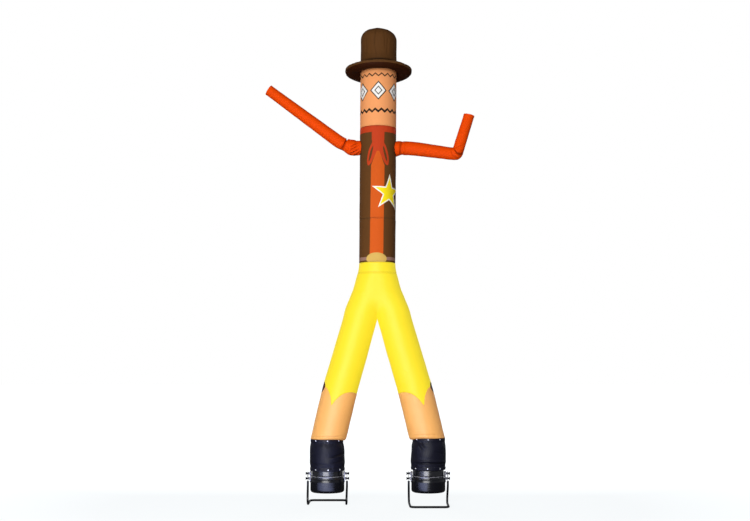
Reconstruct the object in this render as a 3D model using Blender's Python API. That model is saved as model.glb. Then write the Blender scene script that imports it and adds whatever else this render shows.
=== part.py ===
"""Two-legged inflatable air dancer on two upright blowers, 6 m tall, in metres with +Z up.

The dancer is inflated cloth. Its tubes are sewn from panels, and each panel is a closed solid of the
outer form that the air gives it. The blowers, their tilting stands and the hand knobs are hard pieces.
The origin is on the floor, at the centre of the bounding box. The front faces -Y.
"""

import math

import bmesh
import bpy
from mathutils import Vector

GAP = 0.0003  # between pieces that touch

# Where the dancer stands. Its arms reach unequally far, so its body is off the box's centre.
BODY_X = 0.09698
FEET_X = BODY_X + 0.004  # the middle between the two blowers
HIPS_X = BODY_X - 0.005
BLOWER_SPREAD = 0.62  # from the middle to each blower's axis

# Heights of the body's seams, from the top down
HAT_TOP_Z = 5.985
BRIM_Z = 5.43
NECK_Z = 4.685
CHEST_SEAM_Z = 3.52
WAIST_Z = 2.973
HIP_SEAM_Z = 2.843
CROTCH_Z = 2.29
HEM_TIP_Z = 1.21
ANKLE_Z = 0.80
SLEEVE_HEM_Z = 0.415

# The body tube
BODY_SIDES = 40
BODY_R = 0.225
WAIST_R = 0.2225
BODY_LEAN = 0.0069  # sideways, for each metre of height above the waist

# The hat
CROWN_SHOULDER_R = 0.125
CROWN_DOME = 0.025
BRIM_R = 0.418
BRIM_HALF_THICKNESS = 0.048
BRIM_TILT = 4.0  # degrees, the front of the brim up

# The legs
LEG_SIDES = 36
HEM_TIP_ANGLE = 14.0  # degrees from the front, towards the outer side
# Rise of the hem at each tenth degree from a tip to the top of an arch, on the outer and inner side
HEM_OUTER_ARCH = (0.0, 0.110, 0.165, 0.205, 0.223, 0.236, 0.246, 0.253, 0.258, 0.260)
HEM_INNER_ARCH = (0.0, 0.072, 0.117, 0.146, 0.158, 0.163, 0.163, 0.158, 0.150, 0.145)
SLEEVE_RISE = {"left": 0.0, "right": 0.014}  # one sleeve is pulled a little higher

# The arms
ARM_SIDES = 20

# The blowers
BLOWER_SIDES = 40
BARREL_R = 0.2085
BARREL_BOTTOM_Z = 0.153
BARREL_CORNER_R = 0.032
JOINT_Z = 0.318  # where the barrel and the collar meet
FLANGE_HEIGHT = 0.008
COLLAR_R = 0.19
COLLAR_TOP_Z = 0.46
INLET_R = 0.160
INLET_DEPTH = 0.045
GRILLE_R = 0.174
GRILLE_THICKNESS = 0.005
GRILLE_SPOKES = 12
GRILLE_RINGS = 3
GLAND_Z = 0.235

# The sleeve that slips over each blower's collar
SLEEVE_SIDES = 40
SLEEVE_CLEARANCE = 0.002

# The studs through each sleeve's lower hem
STUDS = 8
STUD_R = 0.009
STUD_HEIGHT = 0.005
STUD_Z = SLEEVE_HEM_Z + 0.021

# The side brackets, hand knobs and stands
PIVOT_Z = 0.318
LOCK_DZ = 0.0605  # from the pivot up to the locking knob
PLATE_THICKNESS = 0.006
PLATE_HALF_WIDTH = 0.032
PLATE_MARGIN_BELOW = 0.045
PLATE_MARGIN_ABOVE = 0.029
ARM_OFFSET = 0.2405  # from a blower's axis to the middle of a stand's ear
EAR_THICKNESS = 0.004
EAR_SECTOR_R = 0.085
EAR_SECTOR_HALF_ANGLE = 42.0
EAR_TAIL = 0.055
TILT_LIMIT = 30.0  # degrees each way, where the locking bolt meets the end of its slot
BOLT_R = 0.004
BOLT_HOLE_R = 0.0048
BOSS_BASE_R = 0.019
BOSS_TIP_R = 0.011
KNOB_LENGTH = 0.025
KNOB_R = 0.0195
KNOB_LOBES = 5
KNOB_LOBE = 0.0025
KNOB_NECK_R = 0.010
TUBE_R = 0.013
TUBE_SIDES = 12
FOOT_X = 0.236  # the stand narrows a little from its ears to the floor
FOOT_Y = -0.12
CROSSBAR_X = 0.229
CROSSBAR_Y = 0.34
STAND_BEND_R = 0.055

COLOURS = {
    "brown_cloth": ((0.070, 0.034, 0.012), 0.0, 0.75),
    "peach_cloth": ((0.80, 0.36, 0.13), 0.0, 0.70),
    "yellow_cloth": ((0.93, 0.80, 0.02), 0.0, 0.70),
    "orange_cloth": ((0.80, 0.09, 0.01), 0.0, 0.70),
    "black_cloth": ((0.012, 0.012, 0.018), 0.0, 0.80),
    "black_plastic": ((0.010, 0.010, 0.014), 0.0, 0.18),
    "black_steel": ((0.008, 0.008, 0.010), 0.3, 0.35),
    "silver": ((0.70, 0.71, 0.74), 1.0, 0.25),
}


def clear_scene():
    for obj in list(bpy.data.objects):
        bpy.data.objects.remove(obj, do_unlink=True)


def material(name):
    found = bpy.data.materials.get(name)
    if found:
        return found
    colour, metallic, roughness = COLOURS[name]
    made = bpy.data.materials.new(name)
    made.use_nodes = True
    shader = made.node_tree.nodes["Principled BSDF"]
    shader.inputs["Base Color"].default_value = (*colour, 1.0)
    shader.inputs["Metallic"].default_value = metallic
    shader.inputs["Roughness"].default_value = roughness
    return made


def object_from(bm, name, finish, parent=None):
    bmesh.ops.recalc_face_normals(bm, faces=bm.faces)
    mesh = bpy.data.meshes.new(name)
    bm.to_mesh(mesh)
    bm.free()
    mesh.shade_smooth()
    mesh.set_sharp_from_angle(angle=math.radians(35))
    return place_mesh(mesh, name, finish, parent)


def place_mesh(mesh, name, finish, parent=None):
    obj = bpy.data.objects.new(name, mesh)
    bpy.context.scene.collection.objects.link(obj)
    obj.parent = parent
    if finish and not mesh.materials:
        mesh.materials.append(material(finish))
    return obj


def empty(name, location, turn=0.0, parent=None):
    obj = bpy.data.objects.new(name, None)
    bpy.context.scene.collection.objects.link(obj)
    obj.location = location
    obj.rotation_euler = (0.0, 0.0, turn)
    obj.parent = parent
    return obj


def modifier(obj, kind, **settings):
    made = obj.modifiers.new(kind.title(), kind)
    for key, value in settings.items():
        setattr(made, key, value)
    return made


def cutter(obj):
    obj.hide_render = True
    obj.display_type = "WIRE"
    return obj


def fan(bm, ring, centre):
    """Closes a ring with triangles that meet at its centre."""
    middle = bm.verts.new(centre)
    for k, vert in enumerate(ring):
        bm.faces.new((vert, ring[(k + 1) % len(ring)], middle))


def loft(name, rings, finish, parent=None, caps=None):
    """A closed tube through rings of points. caps are the centres of its two ends."""
    bm = bmesh.new()
    made = [[bm.verts.new(point) for point in ring] for ring in rings]
    for lower, upper in zip(made, made[1:]):
        for k in range(len(lower)):
            after = (k + 1) % len(lower)
            bm.faces.new((lower[k], lower[after], upper[after], upper[k]))
    for ring, points, cap in zip((made[0], made[-1]), (rings[0], rings[-1]), caps or (None, None)):
        fan(bm, ring, cap or sum(map(Vector, points), Vector()) / len(points))
    return object_from(bm, name, finish, parent)


def revolve(name, profile, sides, finish, parent=None, closed=False):
    """Turns a profile of (radius, z), listed down its outer side, about +Z."""
    bm = bmesh.new()
    points = [bm.verts.new((radius, 0.0, z)) for radius, z in profile]
    for a, b in zip(points, points[1:]):
        bm.edges.new((a, b))
    if closed:
        bm.edges.new((points[-1], points[0]))
    mesh = bpy.data.meshes.new(name)
    bm.to_mesh(mesh)
    bm.free()
    obj = place_mesh(mesh, name, finish, parent)
    modifier(
        obj,
        "SCREW",
        steps=sides,
        render_steps=sides,
        use_merge_vertices=True,
        merge_threshold=0.0001,
        use_smooth_shade=True,
    )
    return obj


def arc(centre, radius, start, end, steps):
    """Points (r, z) on an arc, from one angle to the other, in degrees from +r towards +z."""
    angles = [math.radians(start + (end - start) * k / steps) for k in range(steps + 1)]
    return [(centre[0] + radius * math.cos(a), centre[1] + radius * math.sin(a)) for a in angles]


# ---------------------------------------------------------------- body tube and hat


def body_x(z):
    return BODY_X - 0.003 + BODY_LEAN * max(0.0, z - WAIST_Z)


def body_ring(z, radius, depth=None, grow=0.0, tilt=0.0):
    depth = radius if depth is None else depth
    ring = []
    for k in range(BODY_SIDES):
        a = 2 * math.pi * k / BODY_SIDES
        x = body_x(z) + (radius + grow) * math.sin(a)
        y = -(depth + grow) * math.cos(a)
        ring.append((x, y, z - y * math.tan(math.radians(tilt))))
    return ring


def body_panel(name, levels, finish, grow=0.0):
    """A length of the body tube. levels are rows of (z, half width, half depth)."""
    return loft(name, [body_ring(z, rx, ry, grow) for z, rx, ry in levels], finish)


def hat_crown():
    shoulder = arc(
        (BODY_R - CROWN_SHOULDER_R, HAT_TOP_Z - CROWN_DOME - CROWN_SHOULDER_R),
        CROWN_SHOULDER_R,
        0,
        78,
        4,
    )
    levels = [(BRIM_Z + GAP / 2, BODY_R), (5.65, BODY_R + 0.001)]
    levels += [(z, radius) for radius, z in shoulder]
    rings = [body_ring(z, radius) for z, radius in levels]
    rings[0] = body_ring(*levels[0], tilt=BRIM_TILT)
    top = (body_x(HAT_TOP_Z), 0.0, HAT_TOP_Z)
    bottom = (body_x(BRIM_Z), 0.0, BRIM_Z + GAP / 2)
    return loft("hat_crown", rings, "brown_cloth", caps=(bottom, top))


def hat_brim():
    """A stuffed ring sewn around the tube, its front a little higher than its back."""
    tilt = math.radians(BRIM_TILT)
    inner = BODY_R / math.cos(tilt) + GAP
    across = BRIM_R - inner
    profile = []
    turns = 12
    for k in range(turns):
        a = 2 * math.pi * k / turns
        out = 0.5 + 0.5 * math.cos(a)
        profile.append((inner + across * out, -BRIM_HALF_THICKNESS * math.sin(a)))
    brim = revolve("hat_brim", profile, BODY_SIDES, "brown_cloth", closed=True)
    brim.location = (body_x(BRIM_Z), 0.0, BRIM_Z)
    brim.rotation_euler = (-tilt, 0.0, 0.0)
    return brim


def body_panels():
    half = GAP / 2
    hat_crown()
    hat_brim()
    neck = body_ring(NECK_Z + half, BODY_R)
    brow = body_ring(BRIM_Z - half, BODY_R, tilt=BRIM_TILT)
    loft("head_tube", [neck, brow], "peach_cloth")
    body_panel(
        "chest_tube",
        [(CHEST_SEAM_Z + half, 0.224, 0.224), (NECK_Z - half, BODY_R, BODY_R)],
        "brown_cloth",
    )
    body_panel(
        "waist_tube",
        [(WAIST_Z + half, WAIST_R, WAIST_R), (CHEST_SEAM_Z - half, 0.224, 0.224)],
        "brown_cloth",
    )


# ---------------------------------------------------------------- hips and legs


LEG_LEVELS = (
    # z, middle of the section from the mid-plane, half width, half depth
    (HIP_SEAM_Z - GAP / 2, 0.018, 0.2225, 0.2225),
    (2.77, 0.044, 0.2205, 0.220),
    (2.70, 0.070, 0.2180, 0.2165),
    (2.55, 0.133, 0.2150, 0.2120),
    (2.40, 0.183, 0.2125, 0.2075),
    (CROTCH_Z, 0.2112, 0.2108, 0.2050),
    (2.00, 0.294, 0.2130, 0.2060),
    (1.70, 0.380, 0.2155, 0.2085),
)
HEM_LEVEL = (0.455, 0.2170, 0.2100)  # the section's middle, half width and half depth at z = 1.44
HEM_LEVEL_Z = 1.44
ANKLE_LEVEL = (0.6095, 0.2148, 0.2100)


def mid_x(z):
    """The legs' mid-plane, which lies a little to the side at the feet."""
    share = min(1.0, max(0.0, (z - ANKLE_Z) / (HIP_SEAM_Z - ANKLE_Z)))
    return FEET_X + (HIPS_X - FEET_X) * share


def leg_point(side, z, middle, rx, ry, angle):
    across = max(GAP / 2, middle + rx * math.sin(angle))
    return (mid_x(z) + side * across, -ry * math.cos(angle), z)


def leg_angles():
    start = math.radians(HEM_TIP_ANGLE)
    return [start + 2 * math.pi * k / LEG_SIDES for k in range(LEG_SIDES)]


def hem_z(k):
    """Height of the scalloped hem at a ring's k-th point. Point 0 is the front tip."""
    half = LEG_SIDES // 2
    arch = HEM_OUTER_ARCH if k < half else HEM_INNER_ARCH
    from_tip = min(k % half, half - k % half)
    return HEM_TIP_Z + arch[from_tip]


def leg_below(z):
    """Middle, half width and half depth of the leg between the knee and the ankle."""
    share = (HEM_LEVEL_Z - z) / (HEM_LEVEL_Z - ANKLE_Z)
    return [a + (b - a) * share for a, b in zip(HEM_LEVEL, ANKLE_LEVEL)]


def leg_ring(side, z, middle, rx, ry):
    return [leg_point(side, z, middle, rx, ry, angle) for angle in leg_angles()]


def hem_ring(side, drop, share=1.0):
    """The ring along the hem. With a smaller share it runs between the hem and the ankle."""
    ring = []
    for k, angle in enumerate(leg_angles()):
        z = ANKLE_Z + (hem_z(k) - ANKLE_Z) * share - drop
        ring.append(leg_point(side, z, *leg_below(z), angle))
    return ring


def leg(side, word):
    upper = [leg_ring(side, *row) for row in LEG_LEVELS]
    upper.append(hem_ring(side, -GAP / 2))
    loft(f"trouser_{word}", upper, "yellow_cloth")
    lower = [hem_ring(side, GAP / 2), hem_ring(side, 0.0, 0.45)]
    lower.append(leg_ring(side, ANKLE_Z + SLEEVE_RISE[word] + GAP / 2, *ANKLE_LEVEL))
    loft(f"shin_{word}", lower, "peach_cloth")


def hip_yoke():
    half = GAP / 2
    middle, rx, ry = LEG_LEVELS[0][1:]
    body_panel(
        "hip_yoke",
        [(HIP_SEAM_Z + half, middle + rx, ry), (2.91, 0.2275, WAIST_R), (WAIST_Z - half, WAIST_R, WAIST_R)],
        "yellow_cloth",
    )


# ---------------------------------------------------------------- arms


LEFT_ARM = (
    # distance out from the body's axis, z, radius, rise of the tube's direction in degrees
    (0.120, 4.441, 0.0930, 0),
    (0.235, 4.441, 0.0930, 0),
    (0.268, 4.438, 0.0890, 1),
    (0.300, 4.444, 0.0955, 3),
    (0.345, 4.450, 0.0940, 7),
    (0.380, 4.463, 0.0840, 11),
    (0.408, 4.474, 0.0722, 15),
    (0.432, 4.489, 0.0745, 24),
    (0.480, 4.516, 0.0765, 33),
    (0.600, 4.603, 0.0750, 36),
    (0.800, 4.752, 0.0720, 36),
    (1.000, 4.901, 0.0688, 36),
    (1.200, 5.050, 0.0655, 36),
    (1.3845, 5.188, 0.0627, 33),
)
RIGHT_ARM = (
    (0.120, 4.427, 0.0985, 0),
    (0.237, 4.427, 0.0985, 0),
    (0.264, 4.434, 0.0905, 0),
    (0.297, 4.4385, 0.0825, -1),
    (0.316, 4.4380, 0.0785, -1),
    (0.337, 4.4375, 0.0825, -2),
    (0.409, 4.4350, 0.0828, -4),
    (0.700, 4.4000, 0.0785, -7),
    (0.850, 4.3790, 0.0755, -8),
    (0.9486, 4.3667, 0.0740, -8),
    (0.9860, 4.3658, 0.0750, 20),
    (1.0130, 4.3860, 0.0720, 45),
    (1.0240, 4.4190, 0.0680, 72),
    (1.0570, 4.5250, 0.0665, 72.5),
    (1.0920, 4.6350, 0.0655, 72.5),
    (1.1635, 4.8635, 0.0628, 77),
)


def arm_ring(side, out, z, radius, rise):
    """A round section of an arm that points along its rise, away from the body."""
    a = math.radians(rise)
    up = Vector((-side * math.sin(a), 0.0, math.cos(a)))
    ring = []
    for k in range(ARM_SIDES):
        turn = 2 * math.pi * k / ARM_SIDES
        centre = Vector((BODY_X + side * out, 0.0, z))
        ring.append(centre + radius * (up * math.cos(turn) + Vector((0.0, math.sin(turn), 0.0))))
    return ring


def arms():
    """The arms' roots are cut to the body's round side, where they are sewn on."""
    around = body_panel(
        "chest_cutter",
        [(CHEST_SEAM_Z + GAP / 2, 0.224, 0.224), (NECK_Z - GAP / 2, BODY_R, BODY_R)],
        "brown_cloth",
        grow=GAP,
    )
    cutter(around)
    for word, side, rows in (("left", -1, LEFT_ARM), ("right", 1, RIGHT_ARM)):
        made = loft(f"arm_{word}", [arm_ring(side, *row) for row in rows], "orange_cloth")
        modifier(made, "BOOLEAN", operation="DIFFERENCE", solver="EXACT", object=around)


# ---------------------------------------------------------------- sleeves and studs


SLEEVE_LEVELS = (
    # z, radius, outward lean of the middle
    (ANKLE_Z - GAP / 2, 0.1980, 0.0085),
    (0.775, 0.2000, 0.0078),
    (0.660, 0.2055, 0.0050),
    (0.520, 0.2095, 0.0015),
    (0.470, 0.2110, 0.0),
    (SLEEVE_HEM_Z, 0.2125, 0.0),
)


def sleeve_ring(z, radius, middle=0.0):
    angles = [2 * math.pi * k / SLEEVE_SIDES for k in range(SLEEVE_SIDES)]
    return [(middle + radius * math.sin(a), -radius * math.cos(a), z) for a in angles]


def sleeve(word, side, upright):
    """A tapered cloth sleeve, narrowed at the top and slipped over the collar at its hem."""
    rise = SLEEVE_RISE[word]
    rings = [sleeve_ring(z + rise, radius, side * lean) for z, radius, lean in SLEEVE_LEVELS]
    inner = COLLAR_R + SLEEVE_CLEARANCE
    rings.append(sleeve_ring(SLEEVE_HEM_Z + rise, inner))
    rings.append(sleeve_ring(COLLAR_TOP_Z + GAP, inner))
    return loft(f"sleeve_{word}", rings, "black_cloth", parent=upright)


def stud_profile():
    dome = arc((0.0, 0.0), 1.0, 90, 0, 3)
    cap = [(STUD_R * r, 0.0015 + (STUD_HEIGHT - 0.0015) * z) for r, z in dome]
    cap[0] = (0.0, STUD_HEIGHT)
    return cap + [(STUD_R, 0.0), (0.0, 0.0)]


def studs(word, side, upright):
    """Snap studs around the lower hem, each flat on one of the sleeve's facets."""
    (z1, r1, _), (z2, r2, _) = SLEEVE_LEVELS[-2:]
    slope = math.atan((r2 - r1) / (z1 - z2))
    radius = r2 + (r1 - r2) * (STUD_Z - z2) / (z1 - z2)
    facet = -side * math.pi / SLEEVE_SIDES
    out = radius * math.cos(facet) + GAP
    for k in range(STUDS):
        turn = facet + 2 * math.pi * k / STUDS
        stud = revolve(f"stud_{word}_{k + 1}", stud_profile(), 12, "silver", parent=upright)
        stud.location = (out * math.sin(turn), -out * math.cos(turn), STUD_Z + SLEEVE_RISE[word])
        stud.rotation_euler = (math.pi / 2 - slope, 0.0, turn)


# ---------------------------------------------------------------- blowers


def barrel(word, blower):
    corner = arc(
        (BARREL_R - BARREL_CORNER_R, BARREL_BOTTOM_Z + BARREL_CORNER_R), BARREL_CORNER_R, 0, -90, 3
    )
    seat = BARREL_BOTTOM_Z + GRILLE_THICKNESS + GAP
    profile = [(0.0, JOINT_Z), (BARREL_R, JOINT_Z), *corner]
    profile += [(GRILLE_R + 0.0006, BARREL_BOTTOM_Z), (GRILLE_R + 0.0006, seat)]
    profile += [(INLET_R, seat), (INLET_R, BARREL_BOTTOM_Z + INLET_DEPTH)]
    profile += [(0.0, BARREL_BOTTOM_Z + INLET_DEPTH)]
    return revolve(f"blower_barrel_{word}", profile, BLOWER_SIDES, "black_plastic", parent=blower)


def collar(word, blower):
    bottom = JOINT_Z + GAP
    chamfer = 0.004
    profile = [
        (0.0, COLLAR_TOP_Z),
        (COLLAR_R - chamfer, COLLAR_TOP_Z),
        (COLLAR_R, COLLAR_TOP_Z - chamfer),
        (COLLAR_R, bottom + FLANGE_HEIGHT),
        (BARREL_R, bottom + FLANGE_HEIGHT),
        (BARREL_R, bottom),
        (0.0, bottom),
    ]
    return revolve(f"blower_collar_{word}", profile, BLOWER_SIDES, "black_plastic", parent=blower)


def grille_radii():
    """Radii where the guard's hub, rings and rim begin and end."""
    hub, rim, bar = 0.030, GRILLE_R - 0.010, 0.005
    pitch = (rim - hub) / (GRILLE_RINGS + 1)
    radii = [hub]
    for k in range(1, GRILLE_RINGS + 1):
        radii += [hub + k * pitch - bar / 2, hub + k * pitch + bar / 2]
    return radii + [rim, GRILLE_R]


def grille(word, blower):
    """The inlet's guard: a hub, rings, spokes and a rim in one flat plate."""
    radii = grille_radii()
    spoke = math.radians(4.0)
    angles = []
    for k in range(GRILLE_SPOKES):
        middle = 2 * math.pi * (k + 0.5) / GRILLE_SPOKES
        angles += [middle - spoke / 2, middle + spoke / 2]
    bm = bmesh.new()
    flat = [[bm.verts.new((r * math.cos(a), r * math.sin(a), 0.0)) for a in angles] for r in radii]
    centre = bm.verts.new((0.0, 0.0, 0.0))
    for j in range(len(angles)):
        after = (j + 1) % len(angles)
        bm.faces.new((centre, flat[0][j], flat[0][after]))
        for i in range(len(radii) - 1):
            in_ring, in_spoke = i % 2 == 1, j % 2 == 0
            if in_ring or in_spoke:
                bm.faces.new((flat[i][j], flat[i + 1][j], flat[i + 1][after], flat[i][after]))
    bmesh.ops.recalc_face_normals(bm, faces=bm.faces)
    grown = bmesh.ops.extrude_face_region(bm, geom=bm.faces[:])
    top = [v for v in grown["geom"] if isinstance(v, bmesh.types.BMVert)]
    bmesh.ops.translate(bm, verts=top, vec=(0.0, 0.0, GRILLE_THICKNESS))
    made = object_from(bm, f"inlet_grille_{word}", "black_plastic", parent=blower)
    made.location = (0.0, 0.0, BARREL_BOTTOM_Z)
    return made


def cable_gland(word, blower):
    """The moulded inlet for the mains lead, at the back of the barrel."""
    profile = [(0.0, 0.026), (0.006, 0.026), (0.009, 0.022), (0.009, 0.012), (0.014, 0.012)]
    profile += [(0.014, 0.0), (0.0, 0.0)]
    made = revolve(f"cable_gland_{word}", profile, 16, "black_plastic", parent=blower)
    made.location = (0.0, BARREL_R + GAP, GLAND_Z)
    made.rotation_euler = (-math.pi / 2, 0.0, 0.0)
    return made


# ---------------------------------------------------------------- brackets, knobs and stands


def cylinder_along_x(name, radii, x1, x2, y, z, sides, finish, parent=None):
    rings = []
    for x, radius in zip((x1, x2), radii):
        angles = [2 * math.pi * k / sides for k in range(sides)]
        rings.append([(x, y + radius * math.cos(a), z + radius * math.sin(a)) for a in angles])
    return loft(name, rings, finish, parent)


def plate_along_x(name, outline, x1, x2, finish, parent=None):
    """An outline of (y, z) points, made as thick as from x1 to x2."""
    bm = bmesh.new()
    face = bm.faces.new([bm.verts.new((x1, y, z)) for y, z in outline])
    grown = bmesh.ops.extrude_face_region(bm, geom=[face])
    far = [v for v in grown["geom"] if isinstance(v, bmesh.types.BMVert)]
    bmesh.ops.translate(bm, verts=far, vec=(x2 - x1, 0.0, 0.0))
    bmesh.ops.triangulate(bm, faces=[f for f in bm.faces if len(f.verts) > 4])
    return object_from(bm, name, finish, parent)


def rounded_rectangle(half_width, low, high, radius):
    outline = []
    for cy, cz, start in (
        (half_width - radius, high - radius, 0),
        (radius - half_width, high - radius, 90),
        (radius - half_width, low + radius, 180),
        (half_width - radius, low + radius, 270),
    ):
        outline += arc((cy, cz), radius, start, start + 90, 3)
    return outline


def bracket(word, side_word, side, blower):
    """A plate on the blower's side with two bosses, which the stand's ear is clamped against."""
    inner = BARREL_R + GAP
    outer = inner + PLATE_THICKNESS
    tip = ARM_OFFSET - EAR_THICKNESS / 2 - GAP
    outline = rounded_rectangle(
        PLATE_HALF_WIDTH, PIVOT_Z - PLATE_MARGIN_BELOW, PIVOT_Z + LOCK_DZ + PLATE_MARGIN_ABOVE, 0.014
    )
    name = f"side_bracket_{word}_{side_word}"
    made = plate_along_x(name, outline, side * inner, side * outer, "black_steel", blower)
    for z in (PIVOT_Z, PIVOT_Z + LOCK_DZ):
        boss = cylinder_along_x(
            f"boss_{name}_{z:.2f}",
            (BOSS_BASE_R, BOSS_TIP_R),
            side * (outer - 0.002),
            side * tip,
            0.0,
            z,
            16,
            "black_steel",
            blower,
        )
        cutter(boss)
        modifier(made, "BOOLEAN", operation="UNION", solver="EXACT", object=boss)
    return made


def knob_rings(side):
    """A star knob: a bolt through the ear, a round neck, and a head that flares to five lobes."""
    bolt = EAR_THICKNESS + GAP
    rows = (
        # distance out from the ear's outer face, radius, depth of the lobes
        (-bolt, BOLT_R, 0.0),
        (0.0, BOLT_R, 0.0),
        (0.0, KNOB_NECK_R, 0.0),
        (0.3 * KNOB_LENGTH, KNOB_NECK_R, 0.0),
        (0.62 * KNOB_LENGTH, 0.72 * KNOB_R, 0.4 * KNOB_LOBE),
        (0.92 * KNOB_LENGTH, KNOB_R, KNOB_LOBE),
        (KNOB_LENGTH, 0.93 * KNOB_R, KNOB_LOBE),
        (0.86 * KNOB_LENGTH, 0.4 * KNOB_R, 0.0),
    )
    sides = 3 * KNOB_LOBES
    rings = []
    for out, radius, lobe in rows:
        ring = []
        for k in range(sides):
            a = 2 * math.pi * k / sides
            r = radius + lobe * math.cos(KNOB_LOBES * a)
            ring.append((side * out, r * math.cos(a), r * math.sin(a)))
        rings.append(ring)
    return rings


def knobs(word, blower):
    for side_word, side in (("outer", -1), ("inner", 1)):
        for level, z in (("pivot", PIVOT_Z), ("lock", PIVOT_Z + LOCK_DZ)):
            name = f"knob_{word}_{side_word}_{level}"
            made = loft(name, knob_rings(side), "black_plastic", parent=blower)
            made.location = (side * (ARM_OFFSET + EAR_THICKNESS / 2 + GAP), 0.0, z)


def rounded_path(corners, steps):
    """Points along straight runs, with an arc at each corner. A corner is (point, bend radius)."""
    points = [Vector(corners[0][0])]
    for (before, _), (corner, radius), (after, _) in zip(corners, corners[1:], corners[2:]):
        corner = Vector(corner)
        back = (Vector(before) - corner).normalized()
        on = (Vector(after) - corner).normalized()
        half = back.angle(on) / 2
        reach = radius / math.tan(half)
        centre = corner + (back + on).normalized() * radius / math.sin(half)
        start, end = corner + back * reach - centre, corner + on * reach - centre
        points += [
            centre + radius * start.slerp(end, k / steps).normalized() for k in range(steps + 1)
        ]
    points.append(Vector(corners[-1][0]))
    return points


def tube_rings(points, radius, sides, up):
    """Round sections along a path. A flat of each section faces down along the floor."""
    rings = []
    flat = math.pi / sides
    out = radius / math.cos(flat)
    for k, point in enumerate(points):
        before = point - points[max(0, k - 1)]
        after = points[min(len(points) - 1, k + 1)] - point
        along = (before.normalized() + after.normalized()).normalized()
        up = (up - along * up.dot(along)).normalized()
        across = along.cross(up)
        ring = []
        for j in range(sides):
            a = flat + 2 * math.pi * j / sides
            ring.append(point + out * (up * math.cos(a) + across * math.sin(a)))
        rings.append(ring)
    return rings


def ear_outline():
    """The ear in the (y, z) plane about the pivot: a tail in the tube, widening to a sector."""
    sector = arc((0.0, 0.0), EAR_SECTOR_R, 90 - EAR_SECTOR_HALF_ANGLE, 90 + EAR_SECTOR_HALF_ANGLE, 8)
    left = [(-0.025, -0.008), (-0.017, -0.022), (-0.0095, -0.034), (-0.0095, -EAR_TAIL)]
    right = [(-y, z) for y, z in reversed(left)]
    return sector + left + right


def slot_outline():
    """The locking bolt's curved slot, centred above the pivot."""
    half = math.degrees(math.asin((BOLT_HOLE_R - BOLT_R) / LOCK_DZ)) + TILT_LIMIT
    outer = arc((0.0, 0.0), LOCK_DZ + BOLT_HOLE_R, 90 - half, 90 + half, 10)
    inner = arc((0.0, 0.0), LOCK_DZ - BOLT_HOLE_R, 90 + half, 90 - half, 10)
    ends = []
    for turn, run in ((90 + half, outer), (90 - half, inner)):
        a = math.radians(turn)
        middle = (LOCK_DZ * math.cos(a), LOCK_DZ * math.sin(a))
        start = turn if run is outer else turn + 180
        ends.append((run, arc(middle, BOLT_HOLE_R, start, start + 180, 4)[1:-1]))
    return [point for run, end in ends for point in run + end]


def stand(word, blower):
    """One bent tube on the floor with an ear welded into each end, drilled and slotted for the knobs."""
    frame = empty(f"stand_axis_{word}", (0.0, 0.0, PIVOT_Z), parent=blower)
    floor = TUBE_R - PIVOT_Z
    weld = (0.0, -0.030)
    half = [
        ((0.0, CROSSBAR_Y, floor), 0.0),
        ((CROSSBAR_X, CROSSBAR_Y, floor), STAND_BEND_R),
        ((FOOT_X, FOOT_Y, floor), STAND_BEND_R),
        ((ARM_OFFSET, weld[0], weld[1] - 0.055), STAND_BEND_R),
        ((ARM_OFFSET, weld[0], weld[1]), 0.0),
    ]
    rings = tube_rings(rounded_path(half, 4), TUBE_R, TUBE_SIDES, Vector((0.0, 0.0, 1.0)))
    other_half = [[Vector((-p.x, p.y, p.z)) for p in ring] for ring in reversed(rings[1:])]
    made = loft(f"stand_{word}", other_half + rings, "black_steel", parent=frame)
    for side in (-1, 1):
        x1 = side * (ARM_OFFSET - EAR_THICKNESS / 2)
        x2 = side * (ARM_OFFSET + EAR_THICKNESS / 2)
        name = f"ear_{word}_{side}"
        ear = cutter(plate_along_x(name, ear_outline(), x1, x2, "black_steel", frame))
        modifier(made, "BOOLEAN", operation="UNION", solver="EXACT", object=ear)
    reach = ARM_OFFSET + 0.03
    hole = cylinder_along_x(
        f"pivot_hole_{word}", (BOLT_HOLE_R,) * 2, -reach, reach, 0.0, 0.0, 16, "black_steel", frame
    )
    slot = plate_along_x(f"lock_slot_{word}", slot_outline(), -reach, reach, "black_steel", frame)
    for tool in (hole, slot):
        modifier(made, "BOOLEAN", operation="DIFFERENCE", solver="EXACT", object=cutter(tool))
    return made


def blower_and_leg(word, side):
    """Everything on one side's blower. The right stand faces the other way from the left one."""
    turn = 0.0 if side < 0 else math.pi
    axis = empty(f"blower_{word}", (FEET_X + side * BLOWER_SPREAD, 0.0, 0.0), turn)
    upright = empty(f"sleeve_axis_{word}", (FEET_X + side * BLOWER_SPREAD, 0.0, 0.0))
    barrel(word, axis)
    collar(word, axis)
    grille(word, axis)
    cable_gland(word, upright)
    bracket(word, "outer", -1, axis)
    bracket(word, "inner", 1, axis)
    knobs(word, axis)
    stand(word, axis)
    sleeve(word, side, upright)
    studs(word, side, upright)
    leg(side, word)


def main():
    clear_scene()
    body_panels()
    hip_yoke()
    arms()
    blower_and_leg("left", -1)
    blower_and_leg("right", 1)


main()
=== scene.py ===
"""Looks of the two-legged inflatable air dancer: cloth tubes with seams, creases and coloured panels,
sleeved onto two glossy blowers in tilting stands. Metres, +Z up, the front faces -Y."""

import math

import bmesh
import bpy
import numpy as np
from mathutils import Matrix, Vector

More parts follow.
